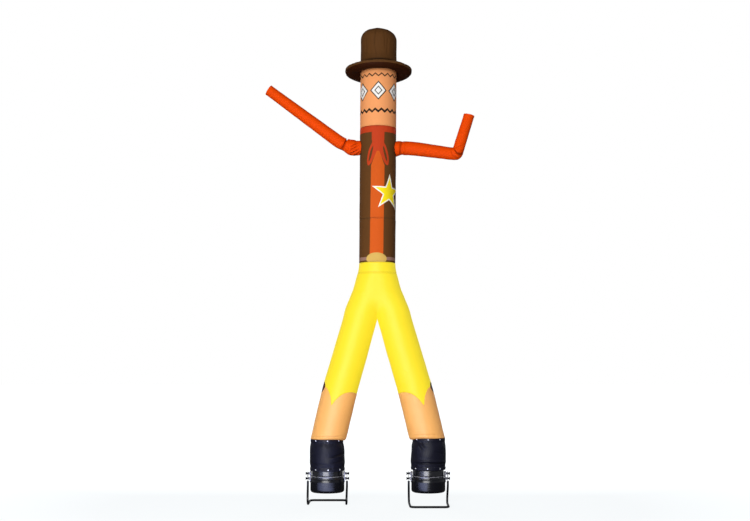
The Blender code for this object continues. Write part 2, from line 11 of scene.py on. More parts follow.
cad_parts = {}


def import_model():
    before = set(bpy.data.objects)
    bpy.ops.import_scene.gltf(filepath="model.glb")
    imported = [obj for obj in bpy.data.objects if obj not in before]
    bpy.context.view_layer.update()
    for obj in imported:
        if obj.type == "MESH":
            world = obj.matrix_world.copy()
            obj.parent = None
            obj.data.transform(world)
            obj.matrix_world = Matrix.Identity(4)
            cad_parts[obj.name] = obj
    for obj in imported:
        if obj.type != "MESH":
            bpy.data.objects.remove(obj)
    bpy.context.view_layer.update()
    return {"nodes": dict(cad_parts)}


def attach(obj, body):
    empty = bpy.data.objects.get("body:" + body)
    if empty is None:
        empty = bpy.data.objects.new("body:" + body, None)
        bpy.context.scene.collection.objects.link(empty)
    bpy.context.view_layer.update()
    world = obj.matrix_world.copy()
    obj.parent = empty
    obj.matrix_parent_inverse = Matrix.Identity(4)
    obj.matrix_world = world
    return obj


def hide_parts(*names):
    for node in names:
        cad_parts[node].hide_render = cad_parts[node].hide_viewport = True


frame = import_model()

# ---------------------------------------------------------------- sizes, as in part.py

GAP = 0.0003
BODY_X = 0.09698
FEET_X = BODY_X + 0.004
HIPS_X = BODY_X - 0.005
BLOWER_SPREAD = 0.62
HAT_TOP_Z = 5.985
BRIM_Z = 5.43
NECK_Z = 4.685
CHEST_SEAM_Z = 3.52
WAIST_Z = 2.973
HIP_SEAM_Z = 2.843
CROTCH_Z = 2.29
HEM_TIP_Z = 1.21
ANKLE_Z = 0.80
SLEEVE_HEM_Z = 0.415
BODY_R = 0.225
WAIST_R = 0.2225
BODY_LEAN = 0.0069
CHEST_R = 0.224  # at the chest seam
BRIM_R = 0.418
BRIM_HALF_THICKNESS = 0.048
BRIM_TILT = math.tan(math.radians(4.0))
HEM_TIP_ANGLE = 14.0
HEM_OUTER_ARCH = (0.0, 0.110, 0.165, 0.205, 0.223, 0.236, 0.246, 0.253, 0.258, 0.260)
HEM_INNER_ARCH = (0.0, 0.072, 0.117, 0.146, 0.158, 0.163, 0.163, 0.158, 0.150, 0.145)
SLEEVE_RISE = {"left": 0.0, "right": 0.014}
BARREL_R = 0.2085
BARREL_BOTTOM_Z = 0.153
BARREL_CORNER_R = 0.032
JOINT_Z = 0.318
COLLAR_R = 0.19
COLLAR_TOP_Z = 0.46
INLET_R = 0.160
INLET_DEPTH = 0.045
GRILLE_R = 0.174
GRILLE_THICKNESS = 0.005
CROWN_SHOULDER_R = 0.125
CROWN_DOME = 0.025
SIDES = (("left", -1), ("right", 1))
LEG_UV_R = 0.213  # the radius that turns an angle round a leg into a place on its cloth
FULL = 0.004  # how far the blown-up cloth stands proud of its solid
CLOTH_THICKNESS = 0.0012
HAT_LINE_Z = 5.513  # a sewn seam just above the brim, with a dark line of painted shade along it
ROLL = 0.016  # height of the rolled end of a shin
ARM_HEM, SLEEVE_HEM = 0.027, 0.044  # depth of the folded hems
THREAD = 0.0007  # half width of a stitch
EDGE_R = 0.004  # how far the blowers' edges are rounded
CENTRE_R = 0.001  # where a turned end closes on its middle point
RIB_LEVELS = (0.365, 0.378, 0.391, 0.404, 0.417)  # the collar's fine ribs
STUDS_Z = 0.784

# z, middle of the section from the mid-plane, half width, half depth
LEG_LEVELS = (
    (HIP_SEAM_Z, 0.018, 0.2225, 0.2225),
    (2.77, 0.044, 0.2205, 0.220),
    (2.70, 0.070, 0.2180, 0.2165),
    (2.55, 0.133, 0.2150, 0.2120),
    (2.40, 0.183, 0.2125, 0.2075),
    (CROTCH_Z, 0.2112, 0.2108, 0.2050),
    (2.00, 0.294, 0.2130, 0.2060),
    (1.70, 0.380, 0.2155, 0.2085),
    (1.44, 0.455, 0.2170, 0.2100),
    (ANKLE_Z, 0.6095, 0.2148, 0.2100),
)
SLEEVE_LEVELS = (
    # z, radius, outward lean of the middle
    (ANKLE_Z, 0.1980, 0.0085),
    (0.775, 0.2000, 0.0078),
    (0.660, 0.2055, 0.0050),
    (0.520, 0.2095, 0.0015),
    (0.470, 0.2110, 0.0),
    (SLEEVE_HEM_Z, 0.2125, 0.0),
)
ARMS = {
    # distance out from the body's axis, z, radius, rise of the tube's direction in degrees
    "left": (
        (0.268, 4.438, 0.0890, 1),
        (0.300, 4.444, 0.0955, 3),
        (0.345, 4.450, 0.0940, 7),
        (0.380, 4.463, 0.0840, 11),
        (0.408, 4.474, 0.0722, 15),
        (0.432, 4.489, 0.0745, 24),
        (0.480, 4.516, 0.0765, 33),
        (0.600, 4.603, 0.0750, 36),
        (0.800, 4.752, 0.0720, 36),
        (1.000, 4.901, 0.0688, 36),
        (1.200, 5.050, 0.0655, 36),
        (1.3845, 5.188, 0.0627, 33),
    ),
    "right": (
        (0.264, 4.434, 0.0905, 0),
        (0.297, 4.4385, 0.0825, -1),
        (0.316, 4.4380, 0.0785, -1),
        (0.337, 4.4375, 0.0825, -2),
        (0.409, 4.4350, 0.0828, -4),
        (0.700, 4.4000, 0.0785, -7),
        (0.850, 4.3790, 0.0755, -8),
        (0.9486, 4.3667, 0.0740, -8),
        (0.9860, 4.3658, 0.0750, 20),
        (1.0130, 4.3860, 0.0720, 45),
        (1.0240, 4.4190, 0.0680, 72),
        (1.0570, 4.5250, 0.0665, 72.5),
        (1.0920, 4.6350, 0.0655, 72.5),
        (1.1635, 4.8635, 0.0628, 77),
    ),
}
ARM_ROOTS = {"left": (4.441, 0.0930), "right": (4.427, 0.0985)}

# ---------------------------------------------------------------- camera, and what the scene holds

PHOTO_WIDTH, FOCAL_LENGTH = 750.0, 1090.0  # in the photograph's pixels


def add(name, data):
    """A new object around a mesh, a camera or a light."""
    made = bpy.data.objects.new(name, data)
    bpy.context.scene.collection.objects.link(made)
    return made


def add_mesh(mesh, material, thickness=0.0):
    """A smooth mesh as an object, made into a shell where it has a thickness."""
    mesh.shade_smooth()
    mesh.materials.append(material)
    made = add(mesh.name, mesh)
    if thickness:
        shell = made.modifiers.new("Shell", "SOLIDIFY")
        shell.thickness = thickness
        shell.offset = -1.0
    return made


def from_bmesh(name, bm):
    mesh = bpy.data.meshes.new(name)
    bm.to_mesh(mesh)
    bm.free()
    return mesh


def finish(obj, replaces=()):
    """What the frame is told about a piece. Every piece here belongs to the fixed body."""
    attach(obj, "root")
    if replaces:
        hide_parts(*replaces)


def camera():
    data = bpy.data.cameras.new("camera")
    data.sensor_width = 36.0
    data.lens = FOCAL_LENGTH * data.sensor_width / PHOTO_WIDTH
    made = add("camera", data)
    made.location = (BODY_X - 0.031, -13.6, 1.7)
    made.rotation_euler = (math.radians(95.5), 0.0, 0.0)
    bpy.context.scene.camera = made


camera()

# ---------------------------------------------------------------- shapes of cloth


def smooth(t):
    t = np.clip(t, 0.0, 1.0)
    return t * t * (3.0 - 2.0 * t)


def hill(distance, width):
    return np.exp(-((distance / width) ** 2))


def spline(knots, values, at):
    """A smooth curve through values that never overshoots them."""
    knots, values = np.asarray(knots, float), np.asarray(values, float)
    at = np.clip(at, knots[0], knots[-1])
    slopes = np.diff(values) / np.diff(knots)
    inner = (slopes[1:] + slopes[:-1]) / 2
    limit = 3 * np.minimum(np.abs(slopes[1:]), np.abs(slopes[:-1]))
    inner = np.where(slopes[1:] * slopes[:-1] <= 0, 0.0, np.clip(inner, -limit, limit))
    tangents = np.concatenate([slopes[:1], inner, slopes[-1:]])
    k = np.clip(np.searchsorted(knots, at, side="right") - 1, 0, len(knots) - 2)
    h = knots[k + 1] - knots[k]
    t = (at - knots[k]) / h
    return (
        (2 * t**3 - 3 * t**2 + 1) * values[k]
        + (t**3 - 2 * t**2 + t) * h * tangents[k]
        + (3 * t**2 - 2 * t**3) * values[k + 1]
        + (t**3 - t**2) * h * tangents[k + 1]
    )


def angles_round(sides):
    """Angles once round a tube, from its back."""
    return np.linspace(-math.pi, math.pi, sides + 1)[None, :]


def grid(x, y, z):
    """Points from rows, columns or tables of their places."""
    return np.stack(np.broadcast_arrays(x, y, z), axis=2)


def lengths(x, y):
    """How far along its line each point lies."""
    return np.concatenate([[0.0], np.cumsum(np.hypot(np.diff(x), np.diff(y)))])


def levels(length, step=0.014, fine=0.004, reach=0.032):
    """Rows from 0 to length, closer together at both ends, where the seams are."""
    reach = min(reach, length / 3)
    ends = np.linspace(0.0, reach, max(2, round(reach / fine) + 1))
    middle = np.linspace(reach, length - reach, max(2, round((length - 2 * reach) / step) + 1))
    return np.concatenate([ends[:-1], middle, length - ends[::-1][1:]])


def bunched(length, zones, step=0.012, fine=0.0042):
    """Rows from 0 to length, closer together in the zones, given as (from, to), and at both ends."""
    at = np.linspace(0.0, length, 3000)
    near = smooth(1 - np.minimum(at, length - at) / 0.035)
    for low, high in zones:
        near = np.maximum(near, smooth((at - low) / 0.03 + 1) * smooth((high - at) / 0.03 + 1))
    rows = np.concatenate([[0.0], np.cumsum(np.diff(at) / (step + (fine - step) * near)[1:])])
    return np.interp(np.linspace(0, rows[-1], round(rows[-1]) + 1), rows, at)


class Tube:
    """A grid of cloth. Its columns go round the tube from the back, its rows along it, and relief is
    how far each point stands proud, in metres. u and v are places on the cloth, in metres. shade is
    how far light is shut out of a deep fold or a tight seam, from 0 to 1."""

    def __init__(self, points, u, v, shut=None, flip=False):
        self.points = points
        self.u, self.v = (np.array(np.broadcast_to(place, points.shape[:2])) for place in (u, v))
        self.relief, self.shade = np.zeros_like(self.u), np.zeros_like(self.u)
        self.shut = np.ones(len(points), bool) if shut is None else shut
        self.around = float(self.u[0, -1] - self.u[0, 0])
        self.flip = flip

    def wrap(self, across):
        return (across + self.around / 2) % self.around - self.around / 2

    # Painted shade: keeps the most shade asked for at each point; it later darkens the cloth's colour.
    def darken(self, amount):
        self.shade = np.maximum(self.shade, amount)

    def seam(self, distance, depth=0.003, reach=0.012, dark=0.12):
        self.relief -= depth * np.exp(-np.abs(distance) / reach)
        # Painted shade: a narrow darker line of colour along the seam.
        self.darken(dark * hill(distance, 0.008))

    def puckers(self, distance, seed, height, count, reach):
        """Short ridges that start at a seam and die out with distance from it."""
        dice = np.random.default_rng(seed)
        start, length = float(self.u[0, 0]), self.around
        distance = np.abs(distance)
        for k in range(count):
            middle = start + length * (k + dice.uniform(0.1, 0.9)) / count
            width = length / count * dice.uniform(0.18, 0.42)
            high = height * dice.uniform(0.25, 1.0) * dice.choice((1.0, 1.0, -0.8))
            long = reach * dice.uniform(0.35, 1.4)
            lean = dice.normal(0.0, 0.22)
            across = self.wrap(self.u - middle - lean * distance)
            self.relief += high * hill(across, width * (1 + distance / reach)) * np.exp(-distance / long)

    def edge(self, distance, depth, width, seed, height, count, reach):
        """A seam with its puckers, which reach out of it."""
        self.seam(distance, depth, width)
        self.puckers(distance, seed, height, count, reach)

    def sewn(self, name, cloth, slot, node, flat, rests_on, **shape):
        """The finished piece that stands for one node. shape is what build is told."""
        finish(self.build(name, CLOTH[cloth], **shape), [node])

    def panel(self, edges, seed, height):
        """A body panel's fullness, its sewn edges, as rows for edge, and its waves."""
        self.relief += FULL
        for row in edges:
            self.edge(*row)
        self.waves(seed, height)

    def back_seam(self):
        """The tube's own closing seam, down its back."""
        self.relief -= 0.0022 * np.exp(-np.abs(self.wrap(self.u - self.around / 2)) / 0.009)

    def round_seam(self, u0, v0, radius, seed, depth=0.004, height=0.003, count=30, reach=0.03):
        """A seam around an arm hole, with its puckers."""
        dice = np.random.default_rng(seed)
        du, dv = self.wrap(self.u - u0), self.v - v0
        distance = np.hypot(du, dv) - radius
        turn = np.arctan2(dv, du)
        self.relief -= depth * np.exp(-np.abs(distance) / 0.014)
        for k in range(count):
            angle = 2 * math.pi * (k + dice.uniform(0.1, 0.9)) / count - math.pi
            away = (turn - angle + math.pi) % (2 * math.pi) - math.pi
            high = height * dice.uniform(0.2, 1.0)
            long = reach * dice.uniform(0.4, 1.5)
            self.relief += high * hill(away * radius, 0.0065) * np.exp(-np.abs(distance) / long)

    def creases(self, rows):
        """Folds given one by one: u and v of both ends, bow, height and half width, in millimetres
        for the last three. A minus height is a trough."""
        for u1, v1, u2, v2, bow, high, wide in rows:
            du, dv = u2 - u1, v2 - v1
            length = math.hypot(du, dv)
            fu, fv = self.wrap(self.u - (u1 + u2) / 2), self.v - (v1 + v2) / 2
            t = (fu * du + fv * dv) / length**2 + 0.5
            across = (fu * dv - fv * du) / length - bow / 1000 * 4 * t * (1 - t)
            taper = smooth(t * 3.5) * smooth((1 - t) * 3.5)
            fold = hill(across, wide / 1000 * (0.55 + 0.45 * taper)) * taper
            self.relief += high / 1000 * fold
            # Painted shade: a trough darkens the cloth's colour, more the deeper it is.
            if high < 0:
                self.darken(min(1.0, -high / 11) ** 1.4 * fold)

    def waves(self, seed, height, count=14, longest=0.9, shortest=0.12, turns=5):
        """Slow unevenness of the tight cloth."""
        dice = np.random.default_rng(seed)
        total = np.zeros_like(self.relief)
        for _ in range(count):
            n = dice.integers(0, turns + 1)
            k = 2 * math.pi / dice.uniform(shortest, longest)
            high, lean, phase = dice.uniform(0.3, 1.0), dice.choice((-1, 1)) * k, dice.uniform(0, 7)
            total += high * np.cos(2 * math.pi * n * self.u / self.around + lean * self.v + phase)
        self.relief += height * total / math.sqrt(count)

    def normals(self):
        p = self.points
        du = np.gradient(p, axis=1)
        ends = p[:, 1] - p[:, -2]
        du[self.shut, 0] = ends[self.shut]
        du[self.shut, -1] = ends[self.shut]
        n = np.cross(du, np.gradient(p, axis=0))
        n /= np.maximum(np.linalg.norm(n, axis=2, keepdims=True), 1e-12)
        return -n if self.flip else n

    def build(self, name, material, thickness=CLOTH_THICKNESS, ring_rows=False, tips=(None, None), kept=None):
        """The mesh. ring_rows joins the last row to the first, tips close an end with a point, and kept
        moves points that lie where they may not."""
        skin = self.points + self.normals() * self.relief[..., None]
        if kept:
            skin = kept(skin)
        rows, columns = self.u.shape
        ids = np.arange(rows * columns).reshape(rows, columns)
        ids[self.shut, -1] = ids[self.shut, 0]
        if ring_rows:
            ids[-1] = ids[0]
        first, last = slice(None, -1), slice(1, None)
        picks = [(first, first), (first, last), (last, last), (last, first)]
        if self.flip:
            picks[1], picks[3] = picks[3], picks[1]
        uv = np.stack([self.u, self.v], axis=2)
        faces = np.stack([ids[pick] for pick in picks], axis=2).reshape(-1, 4)
        loops = np.stack([uv[pick] for pick in picks], axis=2).reshape(-1, 4, 2)
        used, faces = np.unique(faces, return_inverse=True)
        faces, loops = faces.reshape(-1, 4).tolist(), [list(map(tuple, f)) for f in loops]
        vertices = skin.reshape(-1, 3)[used].tolist()
        for row, tip in zip((0, -1), tips):
            if tip is None:
                continue
            ring = np.searchsorted(used, ids[row]).tolist()
            vertices.append(tuple(tip))
            for k in range(columns - 1):
                a, b = (ring[k + 1], ring[k]) if (row == 0) != self.flip else (ring[k], ring[k + 1])
                ua, ub = uv[row, k], uv[row, k + 1]
                faces.append([a, b, len(vertices) - 1])
                loops.append([tuple(ua), tuple(ub), tuple((ua + ub) / 2)])
        mesh = bpy.data.meshes.new(name)
        mesh.from_pydata(vertices, [], faces)
        dark = np.zeros(len(vertices), np.float32)
        dark[: len(used)] = self.shade.reshape(-1)[used]
        mesh.attributes.new("shade", "FLOAT", "POINT").data.foreach_set("value", dark)
        layer = mesh.uv_layers.new(name="cloth")
        layer.data.foreach_set("uv", np.array([x for f in loops for pair in f for x in pair], np.float32))
        return add_mesh(mesh, material, thickness)


def body_x(z):
    return BODY_X - 0.003 + BODY_LEAN * np.maximum(0.0, z - WAIST_Z)


def body_tube(low, high, radius, depth=None, sides=192, step=0.014):
    """A length of the body tube. low and high are heights, or heights for each y."""
    a = angles_round(sides)
    low_z, high_z = (np.asarray(f(-BODY_R * np.cos(a)) if callable(f) else f + 0 * a) for f in (low, high))
    span = float(np.mean(high_z - low_z))
    t = (levels(span, step) / span)[:, None]
    z = low_z + (high_z - low_z) * t
    rx = radius(z) if callable(radius) else radius + 0 * z
    ry = rx if depth is None else depth(z)
    return Tube(grid(body_x(z) + rx * np.sin(a), -ry * np.cos(a), z), BODY_R * a, z)


def brim_line(y):
    return BRIM_Z - y * BRIM_TILT


# ---------------------------------------------------------------- materials


def feed(slot, value):
    """Links a value to a socket, or sets a plain one on it."""
    value = getattr(value, "socket", value)
    if isinstance(value, bpy.types.NodeSocket):
        slot.id_data.links.new(value, slot)
    else:
        slot.default_value = value


def add_node(tree, kind, inputs=(), **settings):
    """A new shader node. inputs are pairs of a socket's name or number and its value."""
    made = tree.nodes.new("ShaderNode" + kind)
    for key, value in settings.items():
        setattr(made, key, value)
    for key, value in inputs:
        feed(made.inputs[key], value)
    return made


class Wire:
    """A value in a material, with arithmetic."""

    def __init__(self, socket):
        self.socket = socket

    def math(self, kind, *others, clamp=False):
        values = enumerate((self, *others))
        made = add_node(self.socket.id_data, "Math", values, operation=kind, use_clamp=clamp)
        return Wire(made.outputs[0])

    def __add__(self, other):
        return self.math("ADD", other)

    def __sub__(self, other):
        return self.math("SUBTRACT", other)

    def __mul__(self, other):
        return self.math("MULTIPLY", other)

    def __truediv__(self, other):
        return self.math("DIVIDE", other)

    def abs(self):
        return self.math("ABSOLUTE")

    def low(self, other):
        return self.math("MINIMUM", other)

    def high(self, other):
        return self.math("MAXIMUM", other)

    def inside(self, soft=0.0012):
        """1 where this distance is below zero, with a narrow soft edge."""
        return (self * (-1.0 / soft)).math("ADD", 0.5, clamp=True)

    def repeat(self, pitch):
        """Distance from the nearest multiple of pitch."""
        return (self / pitch + 0.5).math("FRACT").math("SUBTRACT", 0.5).abs() * pitch


class Surface:
    """A procedural material, built by painting colours over a base."""

    def __init__(self, name, colour, rough, metallic=0.0, variation=0.05, **fixed):
        self.made = bpy.data.materials.new(name)
        self.made.use_nodes = True
        self.tree = self.made.node_tree
        self.shader = self.tree.nodes["Principled BSDF"]
        self.colour = (*colour, 1.0)
        self.rough, self.variation = rough, variation
        self.bumps, self.clear = [], None
        self.shader.inputs["Metallic"].default_value = metallic
        for key, value in fixed.items():
            self.shader.inputs[key.replace("_", " ")].default_value = value
        place = add_node(self.tree, "UVMap", uv_map="cloth")
        split = add_node(self.tree, "SeparateXYZ", [(0, place.outputs[0])])
        self.u, self.v = Wire(split.outputs[0]), Wire(split.outputs[1])
        self.place = add_node(self.tree, "TexCoord").outputs["Object"]

    def noise(self, scale, detail=2.0, rough=0.5):
        values = (("Vector", self.place), ("Scale", scale), ("Detail", detail), ("Roughness", rough))
        return Wire(add_node(self.tree, "TexNoise", values).outputs[0])

    def paint(self, colour, mask):
        bare = mask * -1.0 + 1.0
        self.clear = bare * self.clear if self.clear else bare
        values = ((0, mask), (6, self.colour), (7, (*colour, 1.0)))
        self.colour = add_node(self.tree, "Mix", values, data_type="RGBA").outputs[2]

    def bump(self, height, distance):
        self.bumps.append((height, distance))

    def done(self):
        """Uneven colour and roughness, folds shaded by their depth, and the bumps."""
        shade = self.noise(2.3, 3.0) * (2 * self.variation) + (1 - self.variation)
        shade = shade * (self.noise(38.0, 2.0) * self.variation + (1 - self.variation / 2))
        # Painted shade: the colour darkens by up to two thirds where the shade attribute reaches 1.
        fold = add_node(self.tree, "Attribute", attribute_name="shade")
        shade = shade * (Wire(fold.outputs["Fac"]) * -0.66 + 1.0)
        colour = self.colour[:3] if isinstance(self.colour, tuple) else self.colour
        scale = add_node(self.tree, "VectorMath", ((0, colour), ("Scale", shade)), operation="SCALE")
        feed(self.shader.inputs["Base Color"], scale.outputs[0])
        # Painted glow: the cloth's emission shows only where no other colour is painted over the base.
        if self.clear and self.shader.inputs["Emission Strength"].default_value:
            feed(self.shader.inputs["Emission Strength"], self.clear)
        feed(self.shader.inputs["Roughness"], self.noise(9.0, 2.0) * 0.12 + (self.rough - 0.06))
        below = ()
        for height, distance in self.bumps:
            made = add_node(self.tree, "Bump", (("Distance", distance), ("Height", height), *below))
            below = (("Normal", made.outputs[0]),)
        for key, normal in below:
            feed(self.shader.inputs[key], normal)
        return self.made


def nylon(name, colour, seams=(), thread=(0.5, 0.5, 0.5), rough=0.55, gloss=0.03, through=None):
    """Coated ripstop: a fine square grid, small soft wrinkles and rows of stitches along its seams.
    through is a painted glow: an emission colour that brightens thin bright cloth."""
    made = Surface(name, colour, rough, Specular_IOR_Level=gloss)
    # Painted glow: the cloth gives off this colour though no lamp is inside it.
    if through:
        made.shader.inputs["Emission Color"].default_value = (*through, 1.0)
        made.shader.inputs["Emission Strength"].default_value = 1.0
    made.bump(made.noise(26.0, 3.0, 0.55), 0.0016)
    ribs = made.u.repeat(0.006).low(made.v.repeat(0.006)) - 0.00035
    made.bump(ribs.inside(0.0004), 0.00012)
    made.seams, made.thread = seams, thread
    return made


def stitched(made):
    """Two rows of stitches each side of every seam, painted last."""
    dash = made.u.repeat(0.0046) - 0.0016
    for place in made.seams:
        away = (made.v - place).abs()
        for row in (0.005, 0.011):
            line = ((away - row).abs() - THREAD).high(dash)
            made.paint(made.thread, line.inside(0.0004))
            made.bump(line.inside(0.0006), 0.0004)
    return made.done()


def ellipse(u, v, middle, half, lean=0.0):
    """Signed distance, in metres, to an ellipse that may lean."""
    c, s = math.cos(lean), math.sin(lean)
    du, dv = u - middle[0], v - middle[1]
    x, y = du * c + dv * s, dv * c - du * s
    reach = ((x / half[0]) * (x / half[0]) + (y / half[1]) * (y / half[1])).math("SQRT")
    return (reach - 1.0) * min(half)


def star(u, v, middle, radius, turn, points=5):
    """Signed distance to a star. turn is in degrees, counted against the clock."""
    step = 2 * math.pi / points
    du, dv = u - middle[0], v - middle[1]
    angle = dv.math("ARCTAN2", du) + (step / 2 - math.radians(90 + turn) + 4 * step)
    folded = ((angle / step).math("FRACT") - 0.5).abs() * step
    reach = (du * du + dv * dv).math("SQRT")
    x, y = reach * folded.math("COSINE"), reach * folded.math("SINE")
    notch = 0.382 * radius
    nx, ny = notch * math.sin(step / 2), radius - notch * math.cos(step / 2)
    size = math.hypot(nx, ny)
    return ((x - radius) * (nx / size)) + (y * (ny / size))


BROWN = (0.114, 0.0465, 0.0135)
HAT_BROWN = (0.098, 0.040, 0.0115)
SHIRT_ORANGE = (0.61, 0.098, 0.012)
SCARF_RED = (0.51, 0.050, 0.014)


def shirt():
    """Dark brown sides, an orange front panel, a knotted scarf, a plain star, and a belt and buckle."""
    made = nylon("shirt_cloth", BROWN, (NECK_Z, CHEST_SEAM_Z, WAIST_Z), (0.10, 0.06, 0.03))
    u, v = made.u, made.v
    middle = (v - 4.18) * 0.0086 - 0.002
    panel = ((u - middle).abs() - 0.0845).high(v - 4.36).high((u - middle).abs() * 2.6 + (v - 4.40))
    wedge = (u.abs() - 0.075).high((v - 4.40).abs() - 0.125)
    made.paint(SCARF_RED, wedge.inside(0.004))
    made.paint(SHIRT_ORANGE, panel.inside(0.004))
    # scarf: a band, a knot and two looped tails
    band = v * -1.0 + (NECK_Z - 0.083)
    knot = ((u + 0.001).abs() - 0.079).high(v * -1.0 + (NECK_Z - 0.185))
    made.paint(SCARF_RED, band.inside())
    made.paint(SCARF_RED, knot.inside(0.003))
    for sign in (-1, 1):
        tail = ellipse(u, v, (sign * 0.082, 4.335), (0.046, 0.158), sign * 0.27)
        slit = ellipse(u, v, (sign * 0.090, 4.325), (0.014, 0.098), sign * 0.26)
        made.paint(SCARF_RED, tail.inside())
        made.paint(BROWN, slit.inside())
    # star with a pale outline
    edge = star(u, v, (0.150, 3.838), 0.238, -2.0)
    made.paint((0.90, 0.86, 0.74), edge.inside())
    made.paint((0.93, 0.73, 0.012), (edge + 0.015).inside())
    # belt and oval buckle
    belt = (v - 3.015).abs() - 0.021
    made.paint((0.30, 0.165, 0.125), belt.inside())
    made.paint((0.62, 0.40, 0.10), ellipse(u, v, (-0.0115, 3.012), (0.131, 0.076)).inside())
    return stitched(made)


def peach():
    """Peach cloth with a band of white and dark nested diamonds, and a dark zigzag above and below."""
    made = nylon("head_cloth", (0.85, 0.340, 0.128), (NECK_Z,), (0.50, 0.20, 0.07))
    u, v = made.u, made.v
    pitch = 2 * math.pi * BODY_R / 6
    across = u.repeat(pitch)
    dark, white = (0.03, 0.02, 0.015), (0.85, 0.83, 0.80)
    for size, colour in ((0.104, dark), (0.088, white), (0.050, dark), (0.036, white)):
        made.paint(colour, (across + (v - 5.13).abs() * 0.86 - size).inside())
    tooth = u.repeat(pitch / 3)
    for height, thick in ((5.315, 0.009), (4.86, 0.016)):
        line = (v - height - tooth * 0.9).abs() - thick
        made.paint((0.035, 0.022, 0.014), line.inside())
    return stitched(made)


def patched(made):
    """A dark red patch over the hem, on the outer side of each leg."""
    spot = ellipse(made.u, made.v, (LEG_UV_R * math.pi / 2, 1.434), (0.112, 0.070))
    made.paint((0.07, 0.006, 0.006), spot.inside())
    return stitched(made)


def brim_brown():
    """The crown's cloth on top, darker underneath, with painted shade darkest beside the head."""
    made = nylon("brim_cloth", HAT_BROWN, (0.0,), (0.09, 0.05, 0.025))
    # Darker colour over the whole underside, from just below the rim seam.
    made.paint((0.033, 0.0082, 0.0015), (made.v + 0.030).inside(0.006))
    # Painted shade: darkest colour on the underside next to the head.
    made.paint((0.012, 0.002, 0.0004), (made.v + 0.285).inside(0.05))
    return stitched(made)


def hard(name, colour, rough, metallic=0.0, grain=260.0, depth=0.00008, **fixed):
    made = Surface(name, colour, rough, metallic, variation=0.08, **fixed)
    made.bump(made.noise(grain, 2.0), depth)
    return made.done()


# The GLOW colours are a painted glow that brightens the yellow and shin cloth.
YELLOW, YELLOW_THREAD, YELLOW_GLOW = (0.45, 0.318, 0.010), (0.44, 0.30, 0.01), (0.56, 0.475, 0.016)
SHIN, SHIN_GLOW = (0.74, 0.375, 0.106), (0.20, 0.086, 0.028)
YOKE_SEAMS = (WAIST_Z, HIP_SEAM_Z)
CLOTH = {
    "shirt": shirt(),
    "head": peach(),
    "yellow": patched(nylon("trouser_cloth", YELLOW, YOKE_SEAMS, YELLOW_THREAD, 0.45, 0.20, YELLOW_GLOW)),
    "shin": patched(nylon("shin_cloth", SHIN, rough=0.45, gloss=0.32, through=SHIN_GLOW)),
    "orange": stitched(nylon("arm_cloth", (0.78, 0.063, 0.0012))),
    "hat": stitched(nylon("hat_cloth", HAT_BROWN, (HAT_LINE_Z,), (0.05, 0.03, 0.015))),
    "brim": brim_brown(),
    "black": stitched(nylon("sleeve_cloth", (0.0066, 0.0068, 0.0145), rough=0.42, gloss=0.12)),
}
PLASTIC = hard("barrel_plastic", (0.0025, 0.0028, 0.0055), 0.25, depth=0.00003, Specular_IOR_Level=0.40)
COLLAR_PLASTIC = hard("collar_plastic", (0.0025, 0.0028, 0.0055), 0.20, depth=0.00002, Specular_IOR_Level=1.0)
DULL_PLASTIC = hard("knob_plastic", (0.004, 0.004, 0.005), 0.42, Specular_IOR_Level=0.16)
STEEL = hard("coated_steel", (0.006, 0.006, 0.008), 0.32, grain=420.0, depth=0.00006, Specular_IOR_Level=0.22)
ZINC = hard("plated_steel", (0.22, 0.22, 0.26), 0.36, 0.5, grain=420.0, depth=0.00006)
BARE = hard("bare_steel", (0.80, 0.81, 0.86), 0.40, 0.6, grain=600.0, depth=0.00004)
# Pale grey for the collar's rib: a plastic rib whose light colour is also a painted highlight for the bright
# joint line.
RIB_PLASTIC_AND_HIGHLIGHT = hard("rib_plastic_and_highlight", (0.22, 0.22, 0.25), 0.3)

# ---------------------------------------------------------------- hat

HAT_FOLDS = (
    # u, v, u, v, bow, height, half width, as every row of folds
    (-0.030, 5.99, -0.052, 5.66, 8, -6.5, 6),
    (-0.052, 5.98, -0.078, 5.70, 8, 3.5, 8),
    (-0.010, 5.96, -0.024, 5.70, 5, 3.0, 8),
    (-0.060, 5.74, -0.020, 5.50, -6, -3.4, 8),
    (0.060, 5.93, 0.082, 5.62, -7, -4.0, 8),
    (0.125, 5.88, 0.110, 5.56, 6, -4.0, 8),
    (0.150, 5.86, 0.140, 5.58, 5, 3.0, 9),
    (-0.170, 5.88, -0.150, 5.56, 6, -4.0, 8),
    (0.30, 5.50, 0.27, 5.90, 8, -5.0, 9),
    (-0.31, 5.52, -0.28, 5.92, -7, -4.6, 9),
    (0.42, 5.52, 0.45, 5.86, 5, 3.6, 10),
    (0.55, 5.54, 0.60, 5.92, 5, -4.6, 9),
    (-0.45, 5.54, -0.42, 5.84, 5, 3.6, 10),
    (-0.58, 5.50, -0.55, 5.90, -6, -4.4, 9),
)


